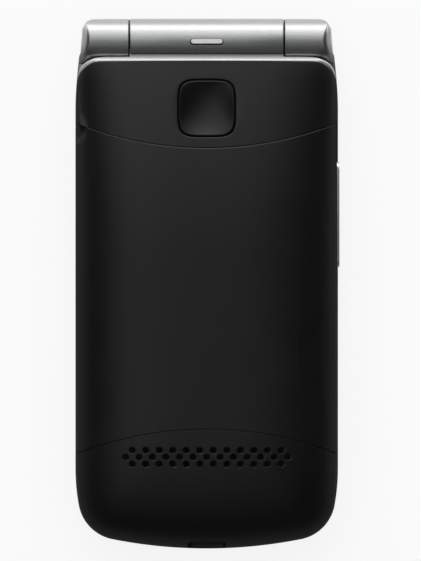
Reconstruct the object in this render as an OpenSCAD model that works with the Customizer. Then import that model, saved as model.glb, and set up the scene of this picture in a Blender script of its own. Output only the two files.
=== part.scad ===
// Clamshell phone, folded shut. It lies on the outer face of its lid, so the back of the
// keypad half looks up and the hinge is towards +Y. Sizes are in millimetres. The origin is
// on the table, under the middle of the closed phone.

/* [Body] */
// Width of both halves
body_w = 52; // [51.6:0.2:56]
// Overall length, hinge barrel included
body_l = 105; // [103:0.5:112]
// Thickness of the lid, the display half
lid_t = 8.4; // [8.4:0.1:10]
// Thickness of the base, the keypad half
base_t = 11.2; // [11.2:0.1:13]
// Air between the closed halves
fold_gap = 0.4; // [0.3:0.05:0.8]
// Radius of the bowed free end
end_arc_r = 96; // [70:1:140]
// Corner radius at the free end
corner_r = 8.4; // [7:0.1:10]
// Radius with which the sides start to curve in towards the free end
side_arc_r = 41; // [36:1:48]
// Length of that stretch, from the free end
side_arc_l = 15.9; // [14.5:0.1:18]
// Corner radius of the silver frame at the hinge end
rim_corner_r = 5.7; // [5.2:0.1:7]
// Corner radius of the black case at the hinge end
case_corner_r = 5; // [4.6:0.1:6]
// Radius with which the sides start to curve in towards the hinge
neck_arc_r = 68; // [60:1:80]
// Length of that stretch, from the frame's hinge end
neck_arc_l = 10.9; // [9:0.1:13]

/* [Hinge] */
// Radius of the hinge barrel
barrel_r = 4.5; // [4.3:0.05:4.8]
// Length of the middle knuckle, which belongs to the base
knuckle_l = 30.4; // [28:0.1:33]
// Gap between neighbouring knuckles
knuckle_gap = 0.3; // [0.2:0.05:0.5]
// Radius of the bore through the barrel
bore_r = 3; // [2.8:0.05:3.2]
// Wall of the keypad half behind the middle knuckle
web_t = 1.65; // [1.5:0.05:1.8]
// Air between a knuckle and the half that it turns against
barrel_air = 0.25; // [0.2:0.01:0.4]
// Distance from the hinge axis to the frame's hinge end
rim_setback = 3.05; // [2.9:0.05:3.4]
// Width of the silver rim past the black case at the hinge end
rim_w = 0.85; // [0.6:0.05:1.2]
// How far the barrel's end faces stand inside the body's side
barrel_inset = 0.9; // [0.6:0.05:1.5]
// Radius of the domed end faces of the barrel
end_dome_r = 5; // [4.8:0.1:7]
// Turn of the end faces, which flare towards the body (degrees)
end_flare = 4; // [2:0.5:6]
// Radial play of parts that run in each other
run_play = 0.05; // [0.02:0.01:0.08]

/* [Base shells] */
// Height of the silver frame band
frame_h = 4; // [4:0.1:4.6]
// Wall of the silver frame
frame_wall = 1.8; // [1.6:0.1:2]
// Radius of the hollow in the frame's top, from the black case's edge down to the barrel
ledge_r = 4.8; // [4.5:0.1:7]
// Fullness of the back: higher is flatter in the middle and rounder at the sides
crown_p = 3.6; // [3.4:0.1:4.4]
// How much lower the back is at the hinge end
end_drop = 3; // [2.4:0.1:3.2]
// Wall of the black case under the cover, from the outer surface
case_wall = 1.9; // [1.8:0.05:2.1]
// Thickness of the battery cover
cover_t = 1; // [0.9:0.05:1.1]
// Gap round the battery cover
cover_gap = 0.12; // [0.08:0.01:0.2]
// Length of the case's zone above the cover, along the middle
top_zone_l = 17.2; // [16.8:0.1:19]
// Length of the case's zone below the cover, along the middle
bottom_zone_l = 23.6; // [22:0.1:25]
// Radius of the two curved seams
seam_r = 71; // [66:1:90]
// Height of the case's edge strip below the cover
edge_strip = 1.2; // [1.1:0.1:1.5]
// Length of the pry notch along the edge
notch_l = 8; // [7:0.1:9]
// Depth of the pry notch into the edge
notch_d = 2.2; // [1.8:0.1:2.4]

/* [Emergency button] */
// Width of the button's hole
sos_w = 11.5; // [10.5:0.1:12.5]
// Squareness of the button's plan: 2 is a circle, higher is squarer
sos_power = 4.4; // [3.8:0.1:5]
// Gap round the button
sos_gap = 0.27; // [0.2:0.01:0.35]
// Distance of the button from the case's hinge end
sos_setback = 9.45; // [8.5:0.05:9.9]
// Radius of the finger dish
dish_r = 19; // [17:0.5:24]
// Depth of the finger dish
dish_d = 0.75; // [0.5:0.05:0.9]
// Travel of the button
sos_travel = 0.4; // [0.3:0.05:0.5]

/* [Loudspeaker grille] */
// Diameter of a grille hole
grille_d = 1.2; // [1:0.05:1.4]
// Pitch of the holes along a row
grille_pitch = 2.67; // [2.5:0.01:2.8]
// Distance between neighbouring rows
grille_row = 1.36; // [1.3:0.01:1.45]
// Holes in the middle row
grille_n = 13; // [11:2:13]
// Distance of the middle row from the free end
grille_setback = 18.16; // [17.6:0.02:18.6]

/* [Keys] */
// Distance of the key block from the phone's sides
keypad_side = 5.7; // [5.5:0.1:7]
// Distance of the key block from the free end
keypad_end = 13.5; // [13.2:0.1:16]
// Gap between neighbouring number keys
key_gap = 1.4; // [1.3:0.05:1.5]
// Gap between the key rows
row_gap = 2; // [1.8:0.1:2.2]
// Size of the 4-way pad
nav_w = 19; // [18:0.2:19]
// Distance of the pad's middle from the hinge axis
nav_setback = 21.5; // [21:0.1:22]
// Gap between the pad and the keys beside it
side_key_gap = 1.6; // [1.4:0.1:2]
// Height of the keys beside the pad
side_key_h = 8.4; // [7.6:0.1:8.6]
// Travel of every key
key_travel = 0.35; // [0.25:0.01:0.38]
// Gap between a key and the deck
key_play = 0.15; // [0.1:0.01:0.2]
// Depth of the keypad deck below the frame's face
deck_sink = 0.6; // [0.5:0.05:0.7]
// Thickness of the keypad deck
deck_t = 1; // [0.9:0.05:1.1]
// Length of the volume rocker
rocker_l = 21.1; // [19:0.1:22]
// How far the rocker stands out of the side
rocker_proud = 0.3; // [0.25:0.01:0.5]
// Distance of the rocker's middle from the hinge axis
rocker_setback = 34.35; // [33.8:0.05:35]
// Tilt of the rocker at full press (degrees)
rocker_tilt = 1.2; // [0.8:0.1:1.4]

/* [Inside] */
// Distance of the battery bay from the phone's sides
bay_side = 9.8; // [9.6:0.1:11]
// Distance of the battery bay from the upper seam
bay_hi_gap = 6.3; // [6:0.1:8]
// Distance of the battery bay from the lower seam
bay_lo_gap = 3.3; // [3:0.1:5]
// Battery thickness
battery_t = 3.9; // [3.6:0.05:3.9]
// Thickness of the circuit boards
board_t = 0.9; // [0.8:0.05:1]
// Distance of the main board from the phone's sides
board_side = 5.8; // [5.7:0.05:6]
// Diameter of the vibration motor
motor_d = 8; // [7:0.5:8.5]
// Shaft radius of a case screw
screw_r = 0.7; // [0.6:0.05:0.8]

/* [Lid] */
// Wall of the lid's frame
lid_wall = 1.6; // [1.4:0.1:1.8]
// Floor of the outer cover
lid_floor = 1.3; // [1.2:0.05:1.5]
// Thickness of the outer window
window_t = 0.6; // [0.5:0.05:0.7]
// Distance of the outer window from the phone's sides
window_side = 8; // [7:0.1:9.5]
// Length of the outer window
window_l = 47; // [45:0.5:49]
// Distance of the main display's viewing window from the phone's sides
screen_side = 6.5; // [6:0.1:7.5]
// Length of the main display's viewing window
screen_l = 54; // [52:0.5:55]
// Diameter of the camera lens
lens_d = 5.4; // [4.6:0.1:6]

/* [Hidden] */
$fn = 48;
// The keypad is read from below, so its left-hand keys are at +X
KEY_ROWS = [["key_1", "key_2", "key_3"], ["key_4", "key_5", "key_6"],
            ["key_7", "key_8", "key_9"], ["key_star", "key_0", "key_hash"]];
SIDE_KEYS = [["soft_key_left", 1, 1], ["soft_key_right", -1, 1],
             ["call_key", 1, -1], ["end_key", -1, -1]];

CASE_BLACK = "#1d1d1f";
SILVER = "#b9bbc0";
CHROME = "#dcdde0";
DECK_GREY = "#2b2c30";
KEY_GREY = "#3c3d42";
CALL_GREEN = "#2f8f4e";
END_RED = "#b8322a";
BOARD_GREEN = "#1f6b45";
GOLD = "#c9a24a";
GLASS_BLACK = "#0d0e11";
RUBBER = "#333333";

// Overlap of joined forms, and length by which cuts reach past a face
eps = 0.01;
over = 1;

// Places along the phone
half_w = body_w / 2;
end_y = -body_l / 2;
hinge_y = body_l / 2 - barrel_r;
rim_y = hinge_y - rim_setback;
case_y = rim_y - rim_w;
wall_y = hinge_y - barrel_r - barrel_air - web_t;
seam_hi_y = case_y - top_zone_l;
seam_lo_y = end_y + bottom_zone_l;
sos_y = case_y - sos_setback;
grille_y = end_y + grille_setback;
nav_y = hinge_y - nav_setback;
rocker_y = hinge_y - rocker_setback;

// Heights, from the table up
hinge_z = lid_t + fold_gap / 2;
lid_split_z = hinge_z - barrel_r;
base_z = lid_t + fold_gap;
deck_z = base_z + deck_sink;
deck_top_z = deck_z + deck_t;
key_air = 0.05;
lip_z = deck_top_z + key_air;
lip_t = 0.5;
plunger_h = 0.2;
dome_h = 0.25;
dome_z = lip_z + lip_t + plunger_h + key_travel + key_air;
sheet_t = 0.2;
sheet_z = dome_z + dome_h;
board_z = sheet_z + sheet_t;
board_top_z = board_z + board_t;
shelf_t = 0.6;
shelf_z = board_z - shelf_t;
split_z = base_z + frame_h;
back_z = base_z + base_t;
crown_h = back_z - split_z;
cover_z = split_z + edge_strip;
bay_floor_t = 0.6;
bay_z = split_z + edge_strip;

// Outline ends: end arc, corner, side arc, length of the side arc
free_end = [end_arc_r, corner_r, side_arc_r, side_arc_l];
side_steps = 2;
corner_steps = 5;
end_steps = 3;
least_r = 0.3;
straight_r = 2500;
rim_end = [straight_r, rim_corner_r, neck_arc_r, neck_arc_l];
case_end = [straight_r, case_corner_r, neck_arc_r, neck_arc_l - rim_w];
knuckle_corner_r = 2;
flank_arc_r = 87;
flank_arc_l = 18.5;
barrel_end = [straight_r, knuckle_corner_r, flank_arc_r, flank_arc_l];

function arc(c, r, from, to, steps) =
    [for (i = [0:steps]) let (a = from + (to - from) * i / steps) c + r * [cos(a), sin(a)]];
function reversed(list) = [for (i = [len(list) - 1:-1:0]) list[i]];
function tail(list) = [for (i = [1:len(list) - 1]) list[i]];

// Centre of the corner arc that touches both the end arc and the side arc
function corner_centre(end) = let (
    a = [0, end[0]], b = [half_w - end[2], end[3]], span = b - a, dist = norm(span),
    ra = end[0] - end[1], rb = end[2] - end[1],
    along = (ra * ra - rb * rb + dist * dist) / (2 * dist),
    across = sqrt(ra * ra - along * along), u = span / dist)
    a + along * u + across * [-u[1], u[0]];

// Half of one end, from the side to the middle, with the end at height 0 and inset by d
function half_end(end, d) = let (
    a = [0, end[0]], b = [half_w - end[2], end[3]], c = corner_centre(end),
    to_side = atan2(c[1] - b[1], c[0] - b[0]), to_end = atan2(c[1] - a[1], c[0] - a[0]))
    concat(arc(b, end[2] - d, 0, to_side, side_steps),
           tail(arc(c, max(end[1] - d, least_r), to_side, to_end, corner_steps)),
           tail(arc(a, end[0] - d, to_end, -90, end_steps)));

// Closed outline, counter-clockwise from the middle of the free end, with further points
// at some places along the straight sides where that is wanted
function outline(d, top, top_end, places = []) = let (
    low = [for (p = half_end(free_end, d)) [p[0], end_y + p[1]]],
    high = [for (p = half_end(top_end, d)) [p[0], top - p[1]]],
    right = concat(reversed(low), [for (y = places) [half_w - d, y]], high))
    concat(right, [for (i = [len(right) - 2:-1:1]) [-right[i][0], right[i][1]]]);

function at_height(points, z) = [for (p = points) [p[0], p[1], z]];

// Rectangle with round corners
function round_rect(w, h, r, steps = 5) = concat(
    arc([w / 2 - r, h / 2 - r], r, 0, 90, steps),
    arc([r - w / 2, h / 2 - r], r, 90, 180, steps),
    arc([r - w / 2, r - h / 2], r, 180, 270, steps),
    arc([w / 2 - r, r - h / 2], r, 270, 360, steps));

// Square with bulging sides and soft corners
function squircle(w, steps = 40) = [for (i = [0:steps - 1]) let (
    a = 360 * i / steps, c = cos(a), s = sin(a))
    w / 2 * [sign(c) * pow(abs(c), 2 / sos_power),
             sign(s) * pow(abs(s), 2 / sos_power)]];

// Skin through a stack of rings that start at the middle of the free end
module loft(rings) {
    n = len(rings[0]);
    m = len(rings);
    points = [for (r = rings) for (p = r) p];
    sides = [for (r = [0:m - 2]) for (i = [0:n - 1]) let (
        a = r * n + i, b = r * n + (i + 1) % n) each [[a + n, b + n, b], [a + n, b, a]]];
    function strip(base, up) = [for (i = [0:n / 2 - 1]) let (
        p = base + i, q = base + i + 1, s = base + n - i - 1, t = base + (n - i) % n)
        each concat(i + 1 < n / 2 ? [up ? [s, q, p] : [p, q, s]] : [],
                    i > 0 ? [up ? [t, s, p] : [p, s, t]] : [])];
    polyhedron(points, concat(sides, strip(0, false), strip((m - 1) * n, true)),
               convexity = 6);
}

// Height of the crowned back above the split, along the middle
drop_start_y = 5;
function crown_at(y) = crown_h
    - (y > drop_start_y ? end_drop * pow((y - drop_start_y) / (case_y - drop_start_y), 2) : 0);

// Ring of the crowned back. The rings shrink towards the spine of the phone.
spine_y = -22;
crown_steps = 10;
crown_last = 85;
drop_n = 5;
drop_places = [for (i = [0:drop_n - 1])
    drop_start_y + i * (case_y - neck_arc_l - drop_start_y) / drop_n];
function back_outline(d) = outline(d, case_y, case_end, drop_places);
function crown_ring(d, a) = let (u = pow(cos(a), 2 / crown_p))
    [for (p = back_outline(d)) let (
        y = p[1] < spine_y ? spine_y + u * (p[1] - spine_y) : p[1])
        [u * p[0], y, split_z + (crown_at(y) - d) * sin(a)]];

// Crowned form of the back, inset by d, and continued below the split
module back_form(d, below = 0) {
    rings = [for (i = [0:crown_steps]) crown_ring(d, crown_last * i / crown_steps)];
    foot = below > 0 ? [at_height(back_outline(d), split_z - below)] : [];
    loft(concat(foot, rings));
}

module slab(points, z, h) translate([0, 0, z]) linear_extrude(h) polygon(points);
module block(x0, x1, y0, y1, z0, z1) translate([x0, y0, z0]) cube([x1 - x0, y1 - y0, z1 - z0]);
module bar_x(r, x0, x1, y = hinge_y, z = hinge_z)
    translate([x0, y, z]) rotate([0, 90, 0]) cylinder(r = r, h = x1 - x0);
module both_sides() { children(); mirror([1, 0, 0]) children(); }

// Zone of the battery cover between the two curved seams, grown by g
module cover_zone(g, z0) {
    difference() {
        block(-body_w, body_w, seam_lo_y - seam_r, seam_hi_y + seam_r, z0, back_z + over);
        for (y = [seam_hi_y + seam_r, seam_lo_y - seam_r])
            translate([0, y, z0 - over]) cylinder(r = seam_r - g, h = base_t + 3 * over);
    }
}

// Finger scoop at the edge, where a nail lifts the cover
notch_shift = 4.3;
notch_rise = 1.3;
notch_floor_h = 0.7;
notch_y = seam_hi_y + notch_shift;
notch_r = (pow(notch_l / 2, 2) + pow(notch_d, 2)) / (2 * notch_d);
module notch() {
    intersection() {
        translate([notch_d - half_w - notch_r, notch_y, cover_z + notch_rise]) sphere(r = notch_r);
        block(-body_w, 0, notch_y - notch_l, notch_y + notch_l, split_z + notch_floor_h, back_z);
    }
}

// ---------------------------------------------------------------- base: shells

// Four screws hold the black case on the frame
screw_side = 4;
screw_hi_gap = 0.9;
screw_lo_gap = 2.9;
screw_x = half_w - screw_side;
screw_hi_y = seam_hi_y - screw_hi_gap;
screw_lo_y = seam_lo_y + screw_lo_gap;
screw_places = [for (s = [-1, 1]) each [[s * screw_x, screw_hi_y], [s * screw_x, screw_lo_y]]];
screw_floor_t = 0.3;
screw_tip_air = 0.2;
shank_play = 0.15;
boss_r = 1.6;
post_r = 1.5;
head_r = 1.25;
head_h = 0.8;
head_play = 0.2;
head_z = split_z + 1.2;

// Volume rocker and its pocket in the right side
rocker_z = split_z - 0.6;
rocker_h = 3;
rocker_play = 0.15;
rocker_skin = 1.2;
rocker_depth = 3.5;
rocker_flange_t = 0.75;
rocker_flange_l = 0.5;
rocker_flange_h = 0.1;
rocker_air = 0.02;
rocker_end_air = 0.2;
rocker_nub_r = 0.6;
rocker_nub_h = 0.2;
rocker_swing = (rocker_l / 2 + rocker_flange_l) * sin(rocker_tilt);
rocker_flange_x = half_w - rocker_skin - rocker_swing - rocker_flange_t - rocker_air;
rocker_nub_y = rocker_l / 4;

port_w = 7.6;
port_h = 2.6;
port_lift = 0.1;
port_z = board_top_z + port_lift;
lens_l = 6.3;
lens_w = 1;
rib_n = 3;
rib_w = 1;
rib_air = 0.7;
knuckle_x = knuckle_l / 2;
outer_x = knuckle_x + knuckle_gap;

// The keypad deck and the main board rest on steps of the frame
deck_inset = 2.5;
deck_play = 0.1;
shelf_w = 0.8;
shelf_inset = board_side + shelf_w;
shelf_end_y = wall_y - 3.4;
frame_edge = 0.5;

module rocker_pocket() {
    y0 = rocker_y - rocker_l / 2 - rocker_play;
    y1 = rocker_y + rocker_l / 2 + rocker_play;
    reach = rocker_flange_l + rocker_end_air;
    deep_h = rocker_h / 2 + rocker_flange_h + rocker_play;
    block(half_w - rocker_depth, half_w - rocker_skin, y0 - reach, y1 + reach,
          rocker_z - deep_h, rocker_z + deep_h + rocker_flange_h);
    block(half_w - rocker_skin - 0.1 * over, half_w + 2 * over, y0, y1,
          rocker_z - rocker_h / 2 - rocker_play, rocker_z + rocker_h / 2 + rocker_play);
}

// Hollow in the frame's top. It is level at the barrel and rises to the black case's edge.
ledge_y = hinge_y - barrel_r / 2;
ledge_drop = ledge_r - sqrt(pow(ledge_r, 2) - pow(ledge_y - case_y, 2));
module ledge() bar_x(ledge_r, -body_w, body_w, ledge_y, split_z - ledge_drop + ledge_r, $fn = 180);

// Silver band of the keypad half, with the hinge's middle knuckle on its web
module base_frame() {
    color(SILVER) difference() {
        union() {
            difference() {
                union() {
                    loft([at_height(outline(frame_edge, rim_y, rim_end), base_z),
                          at_height(outline(frame_edge * 0.3, rim_y, rim_end), base_z + frame_edge),
                          at_height(outline(0, rim_y, rim_end), base_z + 2 * frame_edge),
                          at_height(outline(0, rim_y, rim_end), split_z)]);
                    block(-knuckle_x, knuckle_x, wall_y, hinge_y - over, base_z, split_z);
                }
                ledge();
            }
            bar_x(barrel_r, -knuckle_x, knuckle_x);
        }
        // The outer knuckles of the lid turn in these two hollows
        both_sides() bar_x(barrel_r + barrel_air, knuckle_x, body_w);
        // Seat of the keypad deck, key space, shelf for the board
        slab(outline(deck_inset - deck_play, wall_y + deck_inset - deck_play, rim_end),
             base_z - over, deck_top_z - base_z + over);
        difference() {
            slab(outline(frame_wall, wall_y + frame_wall, rim_end), deck_top_z - eps,
                 shelf_z - deck_top_z + 2 * eps);
            both_sides() for (i = [1:rib_n]) let (
                y = screw_lo_y + (screw_hi_y - screw_lo_y) * i / (rib_n + 1))
                block(half_w - keypad_side + rib_air, half_w, y, y + rib_w, deck_top_z - over,
                      shelf_z + over);
            for (p = screw_places) translate([p[0], p[1], deck_top_z - over])
                cylinder(r = post_r, h = shelf_z - deck_top_z + 2 * over);
        }
        slab(outline(shelf_inset, shelf_end_y + shelf_inset, rim_end), shelf_z - eps, frame_h);
        slab(outline(frame_wall, wall_y + frame_wall, rim_end), board_z, frame_h);
        for (p = screw_places)
            translate([p[0], p[1], deck_top_z + screw_floor_t]) cylinder(r = screw_r, h = frame_h);
        bar_x(bore_r, -body_w, body_w);
        translate([0, hinge_y, hinge_z]) lens_shape(0);
        // Way of the flex from the barrel into the base
        block(flex_x - flex_air, flex_x + flex_tail_w + flex_air, wall_y - over, hinge_y,
              flex_z - flex_air / 2, flex_z + flex_t + flex_air / 2);
        rocker_pocket();
    }
}

// Black rear shell: crowned skin, battery bay, collar of the button, speaker seat
bay_play = 0.1;
bay_wall = 1;
bay_w = body_w - 2 * bay_side;
bay_hi_y = seam_hi_y - bay_hi_gap;
bay_l = bay_hi_y - seam_lo_y - bay_lo_gap;
battery_w = bay_w - 4 * bay_play;
battery_l = bay_l - 2 * bay_play;
alcove_w = 9.6;
alcove_l = 3;
collar_h = 2.6;
collar_w = 1.5;
collar_z = board_top_z + collar_h;
bond_t = 1;
mesh_drop = 2.2;
mesh_z = back_z - mesh_drop;
mesh_t = 0.2;
mesh_play = 0.2;
mesh_corner_r = 1.8;
seat_w = 1.5;
speaker_side = 9;
speaker_w = body_w - 2 * speaker_side;
speaker_l = 7.4;
speaker_end = 4;
speaker_body_w = speaker_w - 2 * speaker_end;
sim_x = -5;
sim_y = 0;
sim_w = 16;
sim_l = 14;
sim_play = 0.3;
port_reach = 6;

module grille_holes(z0, h) {
    for (row = [-1:1]) {
        n = grille_n - abs(row) % 2;
        for (i = [0:n - 1])
            translate([(i - (n - 1) / 2) * grille_pitch, grille_y + row * grille_row, z0])
                cylinder(d = grille_d, h = h, $fn = 16);
    }
}

module rear_case() {
    color(CASE_BLACK) difference() {
        union() {
            difference() {
                back_form(0);
                back_form(case_wall, over);
            }
            intersection() {
                back_form(bond_t);
                union() {
                    // Tray of the battery bay
                    block(-bay_w / 2 - bay_wall, bay_w / 2 + bay_wall, bay_hi_y - bay_l - bay_wall,
                          bay_hi_y + alcove_l + bay_wall, bay_z - bay_floor_t, back_z);
                    // Collar of the button and seat of the loudspeaker
                    slab_at(squircle(sos_w + 2 * collar_w), 0, sos_y, collar_z, base_t);
                    slab_at(round_rect(speaker_w + 2 * seat_w, speaker_l + 2 * seat_w,
                                       mesh_corner_r + seat_w), 0, grille_y, mesh_z, base_t);
                    for (p = screw_places)
                        translate([p[0], p[1], split_z]) cylinder(r = boss_r, h = base_t);
                }
            }
        }
        // Seat of the cover
        difference() {
            cover_zone(0, cover_z - cover_gap);
            back_form(cover_t + cover_gap, over);
        }
        block(-bay_w / 2, bay_w / 2, bay_hi_y - bay_l, bay_hi_y, bay_z, back_z + over);
        block(-alcove_w / 2, alcove_w / 2, bay_hi_y - over, bay_hi_y + alcove_l,
              split_z - over, back_z + over);
        block(sim_x - sim_w / 2 - sim_play, sim_x + sim_w / 2 + sim_play,
              sim_y - sim_l / 2 - sim_play, sim_y + sim_l / 2 + sim_play,
              split_z - over, bay_z + over);
        slab_at(squircle(sos_w), 0, sos_y, split_z, base_t);
        grille_holes(mesh_z - over, base_t);
        slab_at(round_rect(speaker_w + 2 * mesh_play, speaker_l + 2 * mesh_play,
                           mesh_corner_r + mesh_play), 0, grille_y, board_top_z,
                mesh_z - board_top_z);
        notch();
        rocker_pocket();
        // Mouth of the charging port
        slab_port(port_w, port_h, end_y - over, end_y + port_reach);
        for (p = screw_places) {
            translate([p[0], p[1], split_z - over]) cylinder(r = screw_r + shank_play, h = base_t);
            translate([p[0], p[1], head_z]) cylinder(r = head_r + head_play, h = base_t);
        }
        cover_tabs(tab_play);
    }
}

module slab_at(points, x, y, z, h) translate([x, y, 0]) slab(points, z, h);
module slab_port(w, h, y0, y1)
    translate([0, y1, port_z + port_h / 2]) rotate([90, 0, 0])
        linear_extrude(y1 - y0) polygon(round_rect(w, h, h / 3));

// Tabs under the cover's sides, which catch in slots of the case
tab_l = 4;
tab_t = 0.7;
tab_side = 2.2;
tab_down = 0.7;
tab_play = 0.15;
tab_first = 7;
tab_pitch = 15;
module cover_tabs(g) {
    both_sides() for (i = [0, 1]) let (y = seam_lo_y + tab_first + i * tab_pitch)
        block(half_w - tab_side - g, half_w - tab_side + tab_t + g, y - tab_l / 2 - g,
              y + tab_l / 2 + g, cover_z - tab_down - g, cover_z + over + 10 * g);
}

// Battery cover: crowned skin with ribs that press on the battery
cover_rib_n = 3;
cover_rib_w = 0.8;
cover_rib_end = 2.8;
module battery_cover() {
    rib_z = bay_z + battery_t + bay_play;
    color(CASE_BLACK) difference() {
        union() {
            intersection() {
                difference() {
                    back_form(0);
                    back_form(cover_t, over);
                }
                cover_zone(-cover_gap, cover_z);
            }
            intersection() {
                back_form(cover_t / 2);
                for (i = [1:cover_rib_n]) let (y = bay_hi_y - bay_l * i / (cover_rib_n + 1))
                    block(cover_rib_end - battery_w / 2, battery_w / 2 - cover_rib_end, y,
                          y + cover_rib_w, rib_z, back_z);
            }
            intersection() {
                back_form(cover_t / 2);
                cover_tabs(0);
            }
        }
        notch();
    }
}

// ---------------------------------------------------------------- base: inside

module keypad_deck() {
    color(DECK_GREY) difference() {
        slab(outline(deck_inset, wall_y - 2 * deck_play + deck_inset, rim_end), deck_z, deck_t);
        for (r = [0:3]) for (c = [-1:1])
            slab_at(round_rect(key_w + 2 * key_play, key_h + 2 * key_play, key_corner_r),
                    key_x(c), key_y(r), deck_z - over, deck_t + 2 * over);
        slab_at(squircle(nav_w + 2 * key_play), 0, nav_y, deck_z - over, deck_t + 2 * over);
        for (k = SIDE_KEYS)
            slab_at(round_rect(side_key_w + 2 * key_play, side_key_h + 2 * key_play,
                               side_corner_r),
                    k[1] * side_key_x, nav_y + k[2] * side_key_dy, deck_z - over,
                    deck_t + 2 * over);
        translate([0, mic_y, deck_z - over]) cylinder(d = mic_hole_d, h = deck_t + 2 * over);
    }
}

key_corner_r = 2.6;
side_corner_r = 2.2;
key_crown_r = 34;
side_crown_r = 22;
nav_crown_r = 60;
ok_crown_r = 16;
key_lip = 0.4;
plunger_r = 1;
nav_plunger_r = 0.8;
key_w = (body_w - 2 * keypad_side - 2 * key_gap) / 3;
key_h = (nav_y - nav_w / 2 - end_y - keypad_end - len(KEY_ROWS) * row_gap) / len(KEY_ROWS);
side_key_w = half_w - keypad_side - nav_w / 2 - side_key_gap;
side_key_x = nav_w / 2 + side_key_gap + side_key_w / 2;
side_key_dy = nav_w / 4;
mic_r = 2;
mic_hole_d = 0.9;
mic_y = end_y + shelf_inset + mic_r;
key_face_air = 0.2;
key_face_z = base_z + key_face_air;
function key_x(col) = -col * (key_w + key_gap);
function key_y(row) = nav_y - nav_w / 2 - row_gap - key_h / 2 - row * (key_h + row_gap);

// Key: crowned cap through the deck, retaining lip under it, plunger over its dome
module key_cap(points, lip_points, crown_r) {
    intersection() {
        slab(points, key_face_z, lip_z - key_face_z + eps);
        translate([0, 0, key_face_z + crown_r]) rotate([90, 0, 0])
            cylinder(r = crown_r, h = body_w, center = true, $fn = 180);
    }
    slab(lip_points, lip_z, lip_t);
    translate([0, 0, lip_z + lip_t - eps]) cylinder(r = plunger_r, h = plunger_h + eps);
}

module number_key(row, col) {
    color(KEY_GREY) translate([key_x(col), key_y(row), 0])
        key_cap(round_rect(key_w, key_h, key_corner_r - key_play),
                round_rect(key_w + 2 * key_lip, key_h + 2 * key_lip, key_corner_r), key_crown_r);
}

module side_key(k) {
    color(k[2] > 0 ? KEY_GREY : k[1] > 0 ? CALL_GREEN : END_RED)
        translate([k[1] * side_key_x, nav_y + k[2] * side_key_dy, 0])
            key_cap(round_rect(side_key_w, side_key_h, side_corner_r - key_play),
                    round_rect(side_key_w + 2 * key_lip, side_key_h + 2 * key_lip, side_corner_r),
                    side_crown_r);
}

// Form with a domed underside, to cut a crowned key cap from
module dome_form(crown_r, r, h) {
    reach = asin(r / crown_r);
    translate([0, 0, key_face_z]) rotate_extrude($fn = 96)
        polygon(concat([[0, h]], arc([0, crown_r], crown_r, -90, reach - 90, 8), [[r, h]]));
}

ok_r = 4;
ok_flange = 0.5;
ok_flange_t = 0.2;
nav_reach = nav_w / 3;
module nav_pad() {
    color(SILVER) translate([0, nav_y, 0]) difference() {
        union() {
            intersection() {
                slab(squircle(nav_w), key_face_z, lip_z - key_face_z + eps);
                dome_form(nav_crown_r, nav_w * 0.7, deck_t + 2 * over);
            }
            slab(squircle(nav_w + 2 * key_lip), lip_z, lip_t);
            for (a = [0:90:270]) rotate(a) translate([nav_reach, 0, lip_z + lip_t - eps])
                cylinder(r = nav_plunger_r, h = plunger_h);
        }
        translate([0, 0, key_face_z - over]) cylinder(r = ok_r + key_play, h = deck_t + 3 * over);
        // Room for the flange that holds the OK key
        translate([0, 0, lip_z + lip_t - ok_flange_t - key_travel - key_air])
            cylinder(r = ok_r + ok_flange + key_play, h = over);
    }
}

module ok_key() {
    color(KEY_GREY) translate([0, nav_y, 0]) {
        intersection() {
            translate([0, 0, key_face_z]) cylinder(r = ok_r, h = lip_z + lip_t - key_face_z);
            dome_form(ok_crown_r, ok_r + over, deck_t + 3 * over);
        }
        translate([0, 0, lip_z + lip_t - ok_flange_t])
            cylinder(r = ok_r + ok_flange, h = ok_flange_t);
        translate([0, 0, lip_z + lip_t - eps]) cylinder(r = plunger_r, h = plunger_h + eps);
    }
}

function dome_places() = concat(
    [for (r = [0:3]) for (c = [-1:1]) [key_x(c), key_y(r)]],
    [for (k = SIDE_KEYS) [k[1] * side_key_x, nav_y + k[2] * side_key_dy]],
    [[0, nav_y]], [for (a = [0:90:270]) [nav_reach * cos(a), nav_y + nav_reach * sin(a)]]);

board_w = body_w - 2 * board_side;
sheet_side = 1;
sheet_over = 0.6;
dome_r = 2.3;
dome_top_r = 1.3;
module dome_sheet() {
    color("#c8ccd0") {
        block(sheet_side - board_w / 2, board_w / 2 - sheet_side, key_y(3) - key_h / 2,
              nav_y + nav_w / 2 + sheet_over, sheet_z, board_z);
        for (p = dome_places()) translate([p[0], p[1], dome_z])
            cylinder(r1 = dome_top_r, r2 = dome_r, h = dome_h + eps);
    }
}

board_hi_y = wall_y - 1.4;
board_end = 3.4;
module main_board() {
    color(BOARD_GREEN) intersection() {
        slab(outline(board_end, board_hi_y + board_end, rim_end), board_z, board_t);
        block(-board_w / 2, board_w / 2, end_y, wall_y, board_z - over, board_top_z + over);
    }
}

can_l = 13;
can_h = 1.5;
can_gap = 2.6;
can_side = 1.4;
can_corner_r = 0.8;
module board_shields() {
    x0 = sos_w / 2 + can_gap;
    can_w = board_w / 2 - can_side - x0;
    color(CHROME) both_sides()
        slab_at(round_rect(can_w, can_l, can_corner_r, 2), x0 + can_w / 2,
                board_hi_y - can_side - can_l / 2, board_top_z, can_h);
}

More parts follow.
